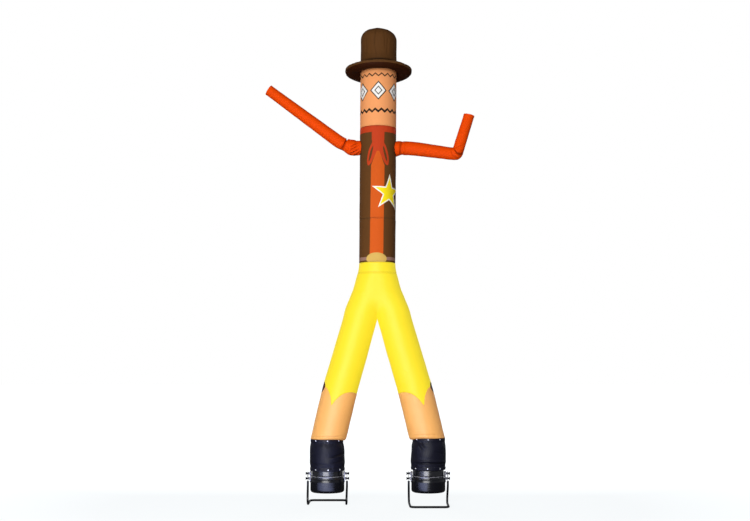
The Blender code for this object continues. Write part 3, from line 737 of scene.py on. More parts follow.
def crown():
    """A straight tube that rounds over into a soft, slightly lopsided top."""
    shoulder = CROWN_SHOULDER_R
    a = angles_round(192)
    angles = np.radians(np.linspace(0, 78, 20))
    arc_r = BODY_R - shoulder + shoulder * np.cos(angles)
    arc_z = HAT_TOP_Z - CROWN_DOME - shoulder + shoulder * np.sin(angles)
    dome = np.linspace(0, 1, 12)[1:-1]
    dome_r = arc_r[-1] * (1 - dome)
    dome_z = arc_z[-1] + (HAT_TOP_Z - arc_z[-1]) * (1 - (1 - dome) ** 2)
    wall = BRIM_Z + levels(arc_z[0] - BRIM_Z, 0.012)[:-1]
    r = np.concatenate([BODY_R + 0 * wall, arc_r, dome_r])[:, None]
    z = np.concatenate([wall, arc_z, dome_z])[:, None]
    lift = 1 - smooth((z - BRIM_Z) / 0.22)
    droop = smooth((z - 5.72) / 0.2) * (r / BODY_R)
    x, y = r * np.sin(a), -r * np.cos(a)
    heights = z - y * BRIM_TILT * lift - 0.016 * droop * (0.5 + 0.5 * np.sin(a)) * smooth(r / 0.1)
    along = lengths(r[:, 0], z[:, 0])[:, None]
    tube = Tube(grid(body_x(z) + x, y, heights), BODY_R * a, BRIM_Z + along)
    ring = BRIM_Z + float(along[len(wall) + 13, 0])
    line = tube.v - HAT_LINE_Z
    tube.edge(tube.v - BRIM_Z, 0.004, 0.014, 11, 0.0030, 60, 0.05)
    tube.edge(tube.v - ring, 0.0028, 0.008, 12, 0.0026, 44, 0.045)
    tube.relief += FULL
    tube.edge(line, 0.009, 0.010, 14, 0.0022, 40, 0.03)
    # Painted shade: the dark line along the seam above the brim, darkest in front.
    tube.darken((0.6 + 0.85 * smooth(np.cos(a) * 2)) * hill(line, 0.024))
    tube.waves(13, 0.0014)
    tube.creases(HAT_FOLDS)
    tip = (float(body_x(HAT_TOP_Z)), 0.0, HAT_TOP_Z)
    closed = {"tips": (None, tip)}
    tube.sewn("hat_crown_cloth", "hat", "brown_cloth", "hat_crown", (1.414, 0.66), "hat_brim", **closed)


def brim():
    """A stuffed ring with a sewn rim and radial puckers."""
    inner = BODY_R / math.cos(math.atan(BRIM_TILT)) + GAP
    across = BRIM_R - inner
    a = angles_round(240)
    b = np.linspace(-math.pi, math.pi, 65)[:, None]  # 0 is the outer rim
    swell = np.sign(np.sin(b)) * np.abs(np.sin(b)) ** 0.86
    r = inner + across * (0.5 + 0.5 * np.cos(b))
    sag = smooth((np.cos(a) - 0.2) / 0.5) * (0.027 * np.maximum(swell, 0.0) + 0.008 * np.maximum(-swell, 0.0))
    points = grid(r * np.sin(a), -r * np.cos(a), BRIM_HALF_THICKNESS * swell - sag)
    tube = Tube(points, BRIM_R * a, 0.11 * b)
    tube.edge(tube.v, 0.0035, 0.006, 21, 0.0052, 64, 0.05)
    tube.puckers(0.345 - np.abs(tube.v), 22, 0.0070, 46, 0.070)
    tube.waves(23, 0.0016, turns=9)
    tube.relief += 0.006 * smooth(np.where(b > 0, 1.1 - b, 2.3 + b))
    # Painted shade: darker colour on the front of the underside, beside the head.
    tube.darken(0.6 * hill(a, 0.7) * smooth((-b - 0.8) / 0.8))
    tube.relief *= smooth((math.pi - np.abs(b)) / 0.35)
    turn = Matrix.Rotation(-math.atan(BRIM_TILT), 3, "X")
    tube.points = tube.points @ np.array(turn).T + np.array([float(body_x(BRIM_Z)), 0.0, BRIM_Z])
    made = tube.build("hat_brim_cloth", CLOTH["brim"], thickness=0, ring_rows=True)
    finish(made, ["hat_brim"])


# ---------------------------------------------------------------- body


def head():
    tube = body_tube(NECK_Z + GAP / 2, lambda y: brim_line(y) - GAP / 2, BODY_R)
    top = brim_line(tube.points[..., 1]) - tube.v
    crown_edge = (top, 0.004, 0.014, 31, 0.0026, 58, 0.045)
    tube.panel((crown_edge, (tube.v - NECK_Z, 0.0022, 0.010, 32, 0.0018, 54, 0.040)), 33, 0.0010)
    tube.darken(0.52 * np.exp(-((top / 0.085) ** 1.5)))  # the brim's shadow
    tube.creases(
        (
            (-0.16, 5.36, -0.10, 5.20, 6, -1.6, 8),
            (0.19, 5.37, 0.14, 5.24, -5, -1.5, 8),
            (0.28, 4.74, 0.22, 4.92, 7, 1.8, 10),
            (-0.27, 4.73, -0.20, 4.88, -6, 1.6, 9),
        )
    )
    tube.sewn("head_cloth", "head", "peach_cloth", "head_tube", (1.414, 0.745), "chest_cloth")


def chest():
    radius = lambda z: spline((CHEST_SEAM_Z, NECK_Z), (CHEST_R, BODY_R), z)
    tube = body_tube(CHEST_SEAM_Z + GAP / 2, NECK_Z - GAP / 2, radius, sides=208, step=0.013)
    neck = (tube.v - NECK_Z, 0.0022, 0.010, 41, 0.0018, 54, 0.040)
    tube.panel((neck, (tube.v - CHEST_SEAM_Z, 0.0024, 0.010, 42, 0.0020, 56, 0.045)), 43, 0.0012)
    for word, side in SIDES:
        z, r = ARM_ROOTS[word]
        u = side * BODY_R * math.pi / 2
        tube.round_seam(u, z, r + 0.004, 44 + side)
        tube.creases(
            (
                (u - side * 0.08, z - 0.09, u - side * 0.17, z - 0.24, 8 * side, 2.6, 11),
                (u - side * 0.04, z - 0.12, u - side * 0.08, z - 0.33, 6 * side, 2.4, 12),
                (u - side * 0.10, z + 0.05, u - side * 0.20, z + 0.12, 5 * side, 2.2, 10),
                (u + side * 0.07, z - 0.10, u + side * 0.15, z - 0.27, -8 * side, 2.6, 12),
                (u + side * 0.11, z + 0.03, u + side * 0.21, z + 0.10, 6 * side, 2.0, 10),
            )
        )
    tube.back_seam()
    tube.sewn("chest_cloth", "shirt", "brown_cloth", "chest_tube", (1.414, 1.165), "waist_cloth")


def waist():
    radius = lambda z: spline((WAIST_Z, CHEST_SEAM_Z), (WAIST_R, CHEST_R), z)
    tube = body_tube(WAIST_Z + GAP / 2, CHEST_SEAM_Z - GAP / 2, radius)
    top = (tube.v - CHEST_SEAM_Z, 0.0024, 0.010, 51, 0.0020, 56, 0.045)
    tube.panel((top, (tube.v - WAIST_Z, 0.0026, 0.010, 52, 0.0024, 58, 0.050)), 53, 0.0012)
    tube.back_seam()
    tube.sewn("waist_cloth", "shirt", "brown_cloth", "waist_tube", (1.404, 0.547), "yoke_cloth")


def yoke():
    width = lambda z: spline((HIP_SEAM_Z, 2.91, WAIST_Z), (0.2405, 0.2275, WAIST_R), z)
    depth = lambda z: WAIST_R + 0 * z
    tube = body_tube(HIP_SEAM_Z + GAP / 2, WAIST_Z - GAP / 2, width, depth, step=0.010)
    top = (tube.v - WAIST_Z, 0.0022, 0.010, 61, 0.0024, 58, 0.045)
    tube.panel((top, (tube.v - HIP_SEAM_Z, 0.0020, 0.010, 62, 0.0018, 50, 0.035)), 63, 0.0008)
    tube.back_seam()
    tube.sewn("yoke_cloth", "yellow", "yellow_cloth", "hip_yoke", (1.45, 0.13), "trouser_cloth")


# ---------------------------------------------------------------- legs


def leg_section(z):
    """Middle from the mid-plane, half width and half depth of a leg."""
    rows = sorted(LEG_LEVELS)
    zs = [row[0] for row in rows]
    return [spline(zs, [row[k] for row in rows], z) for k in (1, 2, 3)]


def mid_x(z):
    share = np.clip((z - ANKLE_Z) / (HIP_SEAM_Z - ANKLE_Z), 0.0, 1.0)
    return FEET_X + (HIPS_X - FEET_X) * share


def hem_height(a):
    """Height of the scalloped hem at an angle from the front, towards the outer side."""
    turn = (np.degrees(a) - HEM_TIP_ANGLE) % 360.0
    steps = np.arange(10) * 10.0
    from_tip = np.minimum(turn % 180.0, 180.0 - turn % 180.0)
    outer = np.interp(from_tip, steps, HEM_OUTER_ARCH)
    inner = np.interp(from_tip, steps, HEM_INNER_ARCH)
    return HEM_TIP_Z + np.where(turn < 180.0, outer, inner)


def leg_tube(side, heights, rounding=0.1):
    """A leg's cloth. heights gives each row's z for an angle. Above the crotch the two legs meet on
    the mid-plane in a valley, rounded in front and behind."""
    share = np.linspace(0.0, 1.0, 161)[None, :]
    guess = heights(0 * share + math.pi / 2)
    middle, rx, ry = leg_section(guess)
    soft = np.minimum(rounding * smooth((guess - CROTCH_Z) / 0.26), middle)
    start = np.arcsin(np.clip((soft - middle) / rx, -1.0, 1.0))
    a = start + (math.pi - 2 * start) * share
    z = heights(a)
    middle, rx, ry = leg_section(z)
    across = np.maximum(middle + rx * np.sin(a), soft)
    x = np.maximum(np.sqrt(np.maximum(across**2 - soft**2, 0.0)), GAP / 2)
    points = grid(mid_x(z) + side * x, -ry * np.cos(a), z)
    tube = Tube(points, LEG_UV_R * a, z, shut=(np.abs(start[:, 0] + math.pi / 2) < 1e-3), flip=side > 0)
    tube.around = LEG_UV_R * 2 * math.pi
    tube.a = a
    return tube


def beside_middle(side):
    """Keeps a leg on its own side of the mid-plane."""

    def kept(skin):
        mid = mid_x(skin[..., 2])
        skin[..., 0] = mid + side * np.maximum(side * (skin[..., 0] - mid), GAP / 2)
        return skin

    return kept


LEG_FOLDS = {
    # beside the crotch, and drag lines down from the hips
    "left": (
        (-0.30, 2.36, -0.13, 2.58, 10, -4.0, 22),
        (-0.22, 2.46, -0.05, 2.70, 12, 3.0, 26),
        (0.05, 2.62, 0.30, 2.44, -14, 2.4, 26),
        (-0.28, 2.22, -0.20, 2.02, 6, 2.5, 14),
        (0.15, 2.80, 0.33, 2.66, 8, 1.8, 18),
        (-0.10, 1.62, 0.04, 1.50, 5, 1.4, 12),
        (0.20, 1.86, 0.33, 1.74, 6, 1.4, 15),
    ),
    "right": (
        (-0.30, 2.34, -0.16, 2.52, 8, -3.0, 20),
        (-0.25, 2.44, -0.08, 2.64, 10, 2.4, 26),
        (0.03, 2.60, 0.26, 2.46, -12, 2.0, 26),
        (-0.27, 2.20, -0.18, 2.04, 6, 2.2, 14),
        (0.14, 2.79, 0.30, 2.68, 8, 1.6, 18),
        (-0.12, 1.70, 0.02, 1.58, 5, 1.3, 12),
        (0.24, 1.96, 0.35, 1.82, 6, 1.3, 15),
    ),
}


def trouser(word, side):
    top = HIP_SEAM_Z - GAP / 2
    straight = 1.62
    rows = top - levels(top - straight, 0.014)[:, None]
    lower = np.linspace(0.0, 1.0, 30)[1:, None]

    def heights(a):
        """Level rows down to the knee, then rows that turn into the hem's line."""
        angles = np.broadcast_to(a, (len(rows) + len(lower), a.shape[1]))
        hem = hem_height(angles[len(rows) :]) + GAP / 2
        return np.concatenate([rows + 0 * angles[: len(rows)], straight + (hem - straight) * lower])

    tube = leg_tube(side, heights)
    hem = tube.v - hem_height(tube.a)
    tube.edge(hem, 0.0018, 0.008, 71 + side, 0.0022, 60, 0.030)
    tube.edge(top - tube.v, 0.0014, 0.008, 73 + side, 0.0018, 54, 0.045)
    tube.waves(75 + side, 0.0014)
    tube.creases(LEG_FOLDS[word])
    calm = smooth(np.abs(tube.points[..., 0] - mid_x(tube.v)) / 0.06)
    tube.relief = tube.relief * calm + 0.005
    tube.shade *= calm
    return tube.build(f"trouser_{word}_half", CLOTH["yellow"], thickness=0, kept=beside_middle(side))


def trousers():
    """Both legs' yellow cloth as one piece, joined along the valley above the crotch."""
    bm = bmesh.new()
    for word, side in SIDES:
        half = trouser(word, side)
        bm.from_mesh(half.data)
        bpy.data.objects.remove(half)
    bmesh.ops.remove_doubles(bm, verts=bm.verts, dist=0.0006)
    made = add_mesh(from_bmesh("trouser_cloth", bm), CLOTH["yellow"], CLOTH_THICKNESS)
    finish(made, ["trouser_left", "trouser_right"])


SHIN_FOLDS = {
    "left": (
        (-0.30, 1.30, -0.08, 1.33, 4, 1.6, 8),
        (-0.29, 1.26, -0.06, 1.28, -3, 1.4, 7),
        (-0.24, 1.22, -0.10, 1.23, 3, 1.2, 7),
        (-0.26, 0.846, 0.22, 0.838, 4, -4.5, 6),
        (-0.22, 0.868, 0.14, 0.862, 3, 2.4, 7),
        (-0.20, 0.90, 0.16, 0.88, 5, 1.6, 9),
        (-0.10, 0.93, 0.22, 0.94, -5, 1.2, 8),
        (0.20, 1.12, 0.10, 0.98, 6, 1.5, 12),
    ),
    "right": (
        (-0.22, 0.856, 0.20, 0.866, -3, -3.8, 6),
        (-0.10, 0.878, 0.24, 0.886, 4, 2.2, 7),
        (-0.22, 0.90, 0.18, 0.89, -5, 1.6, 9),
        (-0.05, 0.94, 0.24, 0.93, 4, 1.2, 8),
        (0.18, 1.18, 0.08, 1.02, -6, 1.4, 12),
        (-0.28, 1.28, -0.12, 1.30, 3, 1.2, 8),
    ),
}


def shin(word, side):
    """From the scalloped hem down to a rolled end that narrows onto the sleeve."""
    ankle = ANKLE_Z + SLEEVE_RISE[word] + GAP / 2
    share = np.concatenate([np.linspace(0.0, 0.80, 34), np.linspace(0.80, 1.0, 36)[1:]])[:, None]

    def heights(a):
        hem = hem_height(a) - GAP / 2
        return hem + (ankle - hem) * share

    tube = leg_tube(side, heights, 0.0)
    low = tube.v - ankle
    inner = np.clip(-np.sin(tube.a), 0.0, 1.0)
    # the end rolls in to the sleeve's top ring
    turn = np.sqrt(np.maximum(0.0, 1.0 - (low / ROLL) ** 2)) * (low < ROLL)
    sleeve_middle = FEET_X + side * (BLOWER_SPREAD + SLEEVE_LEVELS[0][2])
    ring = 0.199 + 0.031 * inner**2
    target = grid(sleeve_middle + side * ring * np.sin(tube.a), -ring * np.cos(tube.a), tube.v)
    blend = (turn**2)[..., None] * 0.92
    tube.points = tube.points * (1 - blend) + target * blend
    hem = hem_height(tube.a) - tube.v
    tube.points[..., 2] -= (0.019 if side < 0 else 0.027) * inner**4 * smooth(1 - low / 0.12)
    tube.relief += 0.005 * smooth((low - 0.008) / 0.03) - 0.006 * inner**2 * smooth(1 - low / 0.10)
    tube.edge(hem, 0.0016, 0.008, 81 + side, 0.0018, 56, 0.026)
    tube.puckers(low, 83 + side, 0.0026, 52, 0.040)
    tube.relief += 0.0035 * hill(low - 0.017, 0.008)
    # Painted shade: a dark line along the rolled end, where the shin meets the sleeve.
    tube.darken(0.9 * hill(low, 0.005))
    tube.waves(85 + side, 0.0012, longest=0.5)
    tube.creases(SHIN_FOLDS[word])
    below = f"sleeve_cloth_{word}"
    tube.sewn(f"shin_cloth_{word}", "shin", "peach_cloth", f"shin_{word}", (1.34, 0.60), below)


SLEEVE_FOLDS = {
    # v is the height without the sleeve's rise
    "left": (
        (0.02, 0.583, 0.290, 0.630, -6, -9.0, 9),
        (0.02, 0.556, 0.285, 0.604, -6, 7.0, 10),
        (-0.27, 0.53, 0.02, 0.50, 8, -5.1, 10),
        (0.02, 0.51, 0.28, 0.54, -6, -5.8, 11),
        (-0.22, 0.75, -0.16, 0.60, 5, -4.1, 9),
        (0.25, 0.76, 0.22, 0.62, -5, -4.3, 10),
        (-0.12, 0.66, -0.28, 0.58, -6, 3.8, 11),
        (0.5, 0.70, 0.62, 0.52, 8, -5.1, 12),
        (-0.5, 0.72, -0.60, 0.55, -8, -5.1, 12),
    ),
    "right": (
        (-0.26, 0.494, 0.30, 0.488, -12, -13.0, 8),
        (-0.24, 0.514, 0.28, 0.509, -12, 9.0, 9),
        (-0.18, 0.775, -0.07, 0.65, 6, -10.0, 6),
        (-0.125, 0.775, -0.02, 0.67, 5, -9.0, 6),
        (-0.150, 0.77, -0.045, 0.66, 4, 7.0, 6),
        (0.20, 0.73, 0.27, 0.60, -5, -4.3, 11),
        (0.05, 0.66, 0.20, 0.60, 5, -3.5, 10),
        (0.52, 0.71, 0.64, 0.54, 8, -5.1, 12),
        (-0.55, 0.70, -0.62, 0.52, -8, -5.1, 12),
    ),
}


def sleeve(word, side):
    """Heavy black cloth with a folded hem at each end, slipped over the blower's collar."""
    rise = SLEEVE_RISE[word]
    zs, rs, leans = zip(*sorted(SLEEVE_LEVELS))
    low, high = SLEEVE_HEM_Z, ANKLE_Z - GAP
    z = (low + levels(high - low, 0.008, 0.003))[:, None]
    a = angles_round(176)
    r = spline(zs, rs, z) - 0.0006
    middle = FEET_X + side * (BLOWER_SPREAD + spline(zs, leans, z))
    tube = Tube(grid(middle + r * np.sin(a), -r * np.cos(a), z + rise), 0.205 * a, z)
    for edge in (low, high):
        band = np.abs(tube.v - edge)
        tube.relief += 0.0016 * smooth((0.040 - band) / 0.004) - 0.0030 * hill(band - SLEEVE_HEM, 0.006)
    tube.puckers(tube.v - low - SLEEVE_HEM, 91 + side, 0.0034, 40, 0.045)
    tube.puckers(high - SLEEVE_HEM - tube.v, 93 + side, 0.0034, 38, 0.045)
    tube.waves(95 + side, 0.0018, longest=0.4, shortest=0.08, turns=7)
    tube.relief += 0.007 * smooth(np.minimum(tube.v - low - 0.05, high - 0.05 - tube.v) / 0.05)
    tube.creases(SLEEVE_FOLDS[word])
    calm = smooth(np.minimum(tube.v - low, high - tube.v) / 0.05)
    tube.relief *= np.where(tube.relief > 0, 0.35 + 0.65 * calm, 0.25 + 0.75 * calm)
    name, below = f"sleeve_cloth_{word}", f"blower_collar_{word}"
    tube.sewn(name, "black", "black_cloth", f"sleeve_{word}", (1.30, 0.385), below, thickness=0.0016)


# ---------------------------------------------------------------- arms


ARM_FOLDS = {
    # u round the arm from its front, s along it from the body's side
    "left": (
        (0.20, 0.166, -0.170, 0.214, 7, -16.0, 9.5),
        (0.18, 0.142, -0.140, 0.184, 7, 6.0, 10),
        (0.18, 0.196, -0.150, 0.246, 7, 5.0, 10),
        (0.10, 0.165, 0.02, 0.132, 3, -4.0, 5),
        (-0.022, 0.128, 0.060, 0.020, 2, -8.0, 6.5),
        (-0.045, 0.132, 0.045, 0.012, 2, 5.5, 6.0),
        (-0.062, 0.130, 0.026, 0.010, 2, -8.0, 6.5),
        (-0.082, 0.132, 0.004, 0.008, 2, 5.5, 6.0),
        (-0.098, 0.125, -0.016, 0.004, 2, -8.5, 7),
        (-0.118, 0.105, -0.040, 0.004, 2, 4.0, 5),
        (-0.140, 0.075, -0.045, 0.000, 2, -11.0, 8),
        (0.070, 0.110, 0.100, 0.030, 2, -2.5, 6),
        (-0.060, 0.262, 0.050, 0.240, 3, 2.4, 7),
        (-0.075, 0.292, 0.030, 0.262, 3, -2.2, 7),
        (-0.23, 0.14, -0.12, 0.22, 4, -6.0, 8),
        (0.17, 0.15, 0.25, 0.19, 4, -6.0, 9),
        (-0.24, 0.06, -0.16, 0.13, 4, 4.0, 8),
        (-0.045, 0.60, 0.055, 0.655, 3, 1.8, 7),
        (0.050, 0.70, -0.050, 0.765, 3, -1.6, 7),
        (0.045, 0.93, -0.055, 1.00, 3, 1.6, 7),
        (-0.05, 1.20, 0.05, 1.26, 3, 1.6, 7),
        (0.06, 1.28, -0.05, 1.335, 2, -1.8, 6),
    ),
    "right": (
        (-0.145, 0.064, 0.13, 0.084, 8, -8.0, 13),
        (-0.110, 0.100, 0.09, 0.120, 5, 6.5, 13),
        (-0.12, 0.030, -0.02, 0.062, 2, 3.0, 6),
        (0.03, 0.015, 0.10, 0.060, 2, -3.0, 6),
        (-0.090, 0.125, 0.010, 0.140, 2, -1.8, 7),
        (-0.15, 0.835, 0.115, 0.746, 6, -12.0, 11),
        (-0.13, 0.808, 0.100, 0.718, 4, 5.5, 10),
        (-0.12, 0.870, 0.110, 0.776, 4, 5.5, 10),
        (-0.115, 0.786, 0.040, 0.696, 5, -5.0, 7),
        (-0.130, 0.765, -0.010, 0.690, 5, 3.0, 6),
        (-0.060, 0.900, 0.100, 0.820, 4, -4.5, 7),
        (-0.070, 0.930, 0.080, 0.870, 4, 2.4, 7),
        (0.13, 0.78, 0.24, 0.80, 4, -7.0, 8),
        (-0.24, 0.82, -0.14, 0.85, 4, -6.0, 8),
        (-0.050, 0.36, 0.060, 0.42, 3, 1.6, 9),
        (0.050, 0.52, -0.060, 0.58, 3, -1.6, 8),
        (0.055, 1.02, -0.050, 1.08, 3, 1.8, 7),
        (-0.050, 1.12, 0.050, 1.17, 3, -1.8, 7),
    ),
}
# the stretches of each arm with its finest folds
ARM_ZONES = {"left": ((0.0, 0.30),), "right": ((0.0, 0.14), (0.66, 0.94))}


def arm(word, side):
    """A sleeve sewn to the chest, sharply bent at its elbow, with an open hemmed end."""
    rows = np.array(ARMS[word], float)
    root_z, root_r = ARM_ROOTS[word]
    along = lengths(rows[:, 0], rows[:, 1])
    s = bunched(along[-1], ARM_ZONES[word])
    out, z, r, rise = (spline(along, rows[:, k], s)[:, None] for k in range(4))
    t = angles_round(112)
    tilt = np.radians(rise)

    def ring(out, z, r, tilt):
        up = r * np.sin(t)
        x = BODY_X + side * (out - up * np.sin(tilt))
        return grid(x, -r * np.cos(t), z + up * np.cos(tilt))

    tube_points = ring(out, z, r, tilt)
    start = ring(*(np.array([[x]]) for x in (0.0, root_z, root_r, 0.0)))[0]
    y, height = start[:, 1], start[:, 2]
    start[:, 0] = body_x(height) + side * np.sqrt((BODY_R + FULL + 0.0009) ** 2 - y**2)
    q = np.linspace(0.0, 1.0, 10)[:-1, None, None]
    root = start[None] * (1 - q) + tube_points[:1] * q
    points = np.concatenate([root, tube_points])
    first = rows[0, 0] - BODY_R
    v = np.concatenate([q[:, 0, 0] * first, first + s])[:, None]
    tube = Tube(points, 0.08 * t, v, flip=side > 0)
    tube.relief += 0.0045 * smooth(tube.v / 0.05)
    tube.edge(tube.v, 0.003, 0.008, 101 + side, 0.0028, 30, 0.024)
    end = float(v[-1, 0])
    hem = end - tube.v
    tube.relief += 0.0012 * smooth((0.024 - hem) / 0.003) - 0.0016 * hill(hem - ARM_HEM, 0.004)
    tube.puckers(np.abs(hem - ARM_HEM), 103 + side, 0.0014, 26, 0.022)
    tube.waves(105 + side, 0.0009, longest=0.4, shortest=0.07, turns=3)
    tube.creases(ARM_FOLDS[word])
    tube.relief[:3] *= np.array([0.0, 0.3, 0.7])[:, None]
    flat = (0.46, round(end, 3))
    tube.sewn(f"arm_cloth_{word}", "orange", "orange_cloth", f"arm_{word}", flat, "chest_cloth")


# ---------------------------------------------------------------- blowers


def lathe(name, profile, centre, material):
    """Turns a profile of (radius, z) about the vertical through centre."""
    profile = np.array(profile, float)
    a = angles_round(128)
    r, z = profile[:, :1], profile[:, 1:]
    tube = Tube(grid(centre + r * np.sin(a), -r * np.cos(a), z), 0.2 * a, lengths(*profile.T)[:, None])
    tips = [(centre, 0.0, float(height)) for height in (z[0, 0], z[-1, 0])]
    made = tube.build(name, material, thickness=0, tips=tips)
    made.data.set_sharp_from_angle(angle=math.radians(42))
    return made


def arc(middle, radius, start, end, steps=8):
    angles = np.radians(np.linspace(start, end, steps + 1))
    return [(middle[0] + radius * math.cos(x), middle[1] + radius * math.sin(x)) for x in angles]


def blower(word, side):
    centre = FEET_X + side * BLOWER_SPREAD
    bottom, corner = BARREL_BOTTOM_Z, BARREL_CORNER_R
    inlet, seat = bottom + INLET_DEPTH, bottom + GRILLE_THICKNESS + GAP
    step_r, lip_r = GRILLE_R + 0.0006, BARREL_R - 0.003
    profile = [(CENTRE_R, inlet), (INLET_R - EDGE_R, inlet), (INLET_R, inlet - EDGE_R), (INLET_R, seat)]
    profile += [(step_r, seat), (step_r, bottom + 0.0015), (GRILLE_R + 0.002, bottom)]
    profile += arc((BARREL_R - corner, bottom + corner), corner, -88, 0, 12)
    profile += [(BARREL_R, bottom + 0.08), (BARREL_R, JOINT_Z - 0.04)]
    profile += [(BARREL_R, JOINT_Z - EDGE_R), (lip_r, JOINT_Z), (CENTRE_R, JOINT_Z)]
    made = lathe(f"barrel_{word}", profile, centre, PLASTIC)
    finish(made, [f"blower_barrel_{word}"])
    low = JOINT_Z + GAP
    profile = [(CENTRE_R, low), (lip_r, low)]
    profile += arc((lip_r, low + 0.003), 0.003, -90, 0, 3) + arc((lip_r, low + 0.005), 0.003, 0, 90, 3)
    foot_r = COLLAR_R + EDGE_R
    profile += [(foot_r, low + 0.008)] + arc((foot_r, low + 0.012), EDGE_R, -90, -180, 4)
    for z in RIB_LEVELS:
        for out, up in ((0.0, -0.003), (0.0011, -0.001), (0.0011, 0.001), (0.0, 0.003)):
            profile.append((COLLAR_R + out, z + up))
    shoulder = COLLAR_TOP_Z - EDGE_R
    profile += [(COLLAR_R, shoulder)] + arc((COLLAR_R - EDGE_R, shoulder), EDGE_R, 0, 90, 4)
    profile += [(CENTRE_R, COLLAR_TOP_Z)]
    made = lathe(f"collar_{word}", profile, centre, COLLAR_PLASTIC)
    finish(made, [f"blower_collar_{word}"])
    # The rib round the collar; its pale colour is partly a painted highlight.
    lower = ((-0.004, 0.345), (0.0035, 0.345), (0.005, 0.3465))
    upper = ((0.005, 0.3505), (0.0035, 0.352), (-0.004, 0.352))
    ring = [(COLLAR_R + out, z) for out, z in lower + upper]
    finish(lathe(f"collar_rib_{word}", ring, centre, RIB_PLASTIC_AND_HIGHLIGHT))


PAD_X, PAD_HALF, PAD_DEPTH = 0.1993, 0.0089, 0.050
PAD_Z, PAD_HEIGHT = 0.3685, 0.072
PAD_SEAT_R = COLLAR_R + 0.0062


def bracket_pads(word, side):
    """The grey blocks that fill the step between the narrower collar and each bracket plate."""
    centre = FEET_X + side * BLOWER_SPREAD
    for name, way in SIDES:
        bm = bmesh.new()
        bmesh.ops.create_cube(bm, size=1.0)
        for vert in bm.verts:
            outer = vert.co.x * way > 0
            vert.co.y *= PAD_DEPTH
            vert.co.z = PAD_Z + PAD_HEIGHT * vert.co.z
            inner_x = math.sqrt(PAD_SEAT_R**2 - vert.co.y**2)
            vert.co.x = centre + way * (PAD_X + PAD_HALF if outer else inner_x)
        if way < 0:
            bmesh.ops.reverse_faces(bm, faces=bm.faces)
        bmesh.ops.recalc_face_normals(bm, faces=bm.faces)
        bmesh.ops.bevel(bm, geom=bm.edges[:], offset=0.0025, segments=3, affect="EDGES")
        finish(add_mesh(from_bmesh(f"bracket_pad_{word}_{name}", bm), ZINC))


STUD_DOME = (
    # radius and height, from the cloth out to the dimple in the middle
    (0.0090, 0.0),
    (0.0090, 0.0012),
    (0.0080, 0.0028),
    (0.0055, 0.0040),
    (0.0028, 0.0044),
    (0.0014, 0.0030),
)


def upper_studs(word, side):
    """Eight snap studs through the sleeve's top hem, as one joined piece."""
    r, sides, studs = 0.2005, 20, 8
    centre = Vector((FEET_X + side * (BLOWER_SPREAD + 0.0081), 0.0, STUDS_Z + SLEEVE_RISE[word]))
    vertices, faces = [], []
    for k in range(studs):
        turn = -side * math.pi / 40 + 2 * math.pi * k / studs
        out = Vector((math.sin(turn), -math.cos(turn), 0.0))
        across = Vector((math.cos(turn), math.sin(turn), 0.0))
        base = centre + out * r
        rings = []
        for radius, high in STUD_DOME:
            rings.append([len(vertices) + j for j in range(sides)])
            for b in (2 * math.pi * j / sides for j in range(sides)):
                up = Vector((0, 0, radius * math.sin(b)))
                vertices.append(base + out * high + across * radius * math.cos(b) + up)
        for lower, upper in zip(rings, rings[1:]):
            for j in range(sides):
                n = (j + 1) % sides
                faces.append([lower[j], lower[n], upper[n], upper[j]])
        faces += [rings[-1], rings[0][::-1]]
    mesh = bpy.data.meshes.new(f"upper_studs_{word}")
    mesh.from_pydata(vertices, [], faces)
    made = add_mesh(mesh, BARE)
    mesh.set_sharp_from_angle(angle=math.radians(40))
    finish(made)


FINISHES = {
    "stand_": STEEL,
    "side_bracket_": ZINC,
    "knob_": DULL_PLASTIC,
    "inlet_grille_": DULL_PLASTIC,
    "cable_gland_": DULL_PLASTIC,
    "stud_": BARE,
}


def carried_over():
    """CAD nodes whose shape stays, with a finished material."""
    for name, node in frame["nodes"].items():
        for start, material in FINISHES.items():
            if name.startswith(start):
                for slot in node.material_slots:
                    slot.link = "OBJECT"
                    slot.material = material


# ---------------------------------------------------------------- stage and light


def stage():
    """A white floor that fades into the white background, a little bluer and darker near the feet."""
    mesh = bpy.data.meshes.new("floor")
    mesh.from_pydata([(-60, -40, 0), (60, -40, 0), (60, 80, 0), (-60, 80, 0)], [], [(0, 1, 2, 3)])
    add("floor", mesh)
    material = bpy.data.materials.new("floor")
    material.use_nodes = True
    tree = material.node_tree
    tree.nodes.remove(tree.nodes["Principled BSDF"])
    split = add_node(tree, "SeparateXYZ", [(0, add_node(tree, "TexCoord").outputs["Object"])])
    x, y = Wire(split.outputs[0]), Wire(split.outputs[1])
    away = ((x * x + y * y).math("SQRT") - 3.2) / 5.0
    far = away.high((y - 0.9) / 2.2).math("ADD", 0.0, clamp=True)
    seen = Wire(add_node(tree, "LightPath").outputs["Is Camera Ray"])
    values = (("Color", (0.955, 0.985, 1.0, 1.0)), ("Strength", (far * 0.25 + 1.05) * seen))
    glow = add_node(tree, "Emission", values)
    plain = add_node(tree, "BsdfDiffuse", [("Color", (0.9, 0.9, 0.9, 1.0))])
    both = add_node(tree, "MixShader", ((0, 0.86), (1, plain.outputs[0]), (2, glow.outputs[0])))
    feed(tree.nodes["Material Output"].inputs["Surface"], both.outputs[0])
    mesh.materials.append(material)


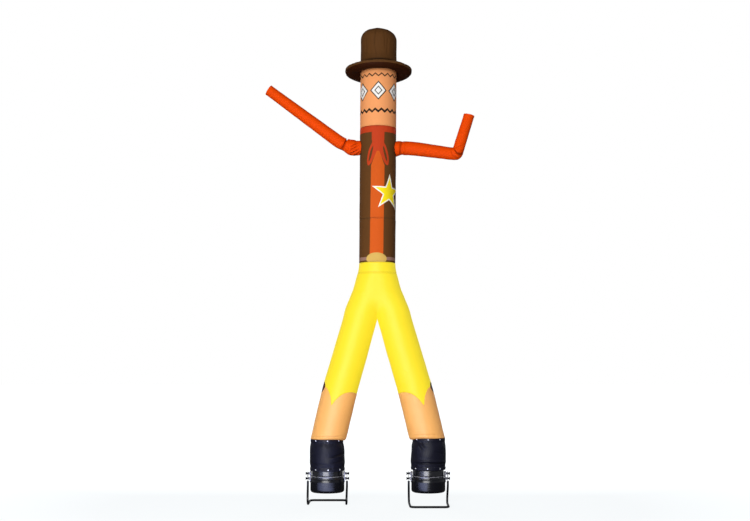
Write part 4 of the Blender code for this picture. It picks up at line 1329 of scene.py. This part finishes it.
def world():
    """White to the camera, and a soft light from all round that is weaker overhead."""
    made = bpy.data.worlds.new("studio")
    bpy.context.scene.world = made
    made.use_nodes = True
    tree = made.node_tree
    seen = tree.nodes["Background"]
    feed(seen.inputs["Color"], (1, 1, 1, 1))
    feed(seen.inputs["Strength"], 1.0)
    split = add_node(tree, "SeparateXYZ", [(0, add_node(tree, "TexCoord").outputs["Generated"])])
    high = Wire(split.outputs[2]).math("MAXIMUM", 0.0).math("POWER", 0.6)
    soft = add_node(tree, "Background", (("Color", (0.93, 0.96, 1.0, 1)), ("Strength", high * -0.40 + 0.50)))
    ray = add_node(tree, "LightPath").outputs["Is Camera Ray"]
    both = add_node(tree, "MixShader", ((0, ray), (1, soft.outputs[0]), (2, seen.outputs[0])))
    feed(tree.nodes["World Output"].inputs["Surface"], both.outputs[0])


def lights():
    """All but the floor card, which shines up, face the body."""
    for name, place, size, height, power in (
        ("key", (-3.4, -15.0, 3.9), 11.0, 7.0, 1880.0),
        ("leg_fill", (-1.2, -5.4, 1.5), 4.0, 1.6, 125.0),
        ("floor_card", (-1.20, -3.0, 0.02), 3.4, 4.2, 290.0),
        ("back_left", (-6.0, 13.0, 6.0), 8.0, 8.0, 600.0),
        ("back_right", (6.5, 13.0, 6.0), 8.0, 8.0, 600.0),
    ):
        data = bpy.data.lights.new(name, "AREA")
        data.shape = "RECTANGLE"
        data.size, data.size_y = size, height
        data.energy = power
        lamp = add(name, data)
        lamp.location = place
        lamp.visible_camera = False
        aim = Vector((BODY_X, 0.0, 3.0)) - Vector(place)
        if name == "floor_card":
            data.color = (0.50, 0.57, 1.0)
            lamp.visible_diffuse = False
            aim = Vector((0, 0, 1))
        elif name.startswith("back"):
            lamp.visible_glossy = False
        lamp.rotation_euler = aim.to_track_quat("-Z", "Y").to_euler()
    bpy.context.scene.view_settings.view_transform = "Standard"


# ---------------------------------------------------------------- all of it

crown()
brim()
head()
chest()
waist()
yoke()
trousers()
for word, side in SIDES:
    arm(word, side)
    shin(word, side)
    sleeve(word, side)
    blower(word, side)
    bracket_pads(word, side)
    upper_studs(word, side)
carried_over()
stage()
world()
lights()

bpy.context.view_layer.update()
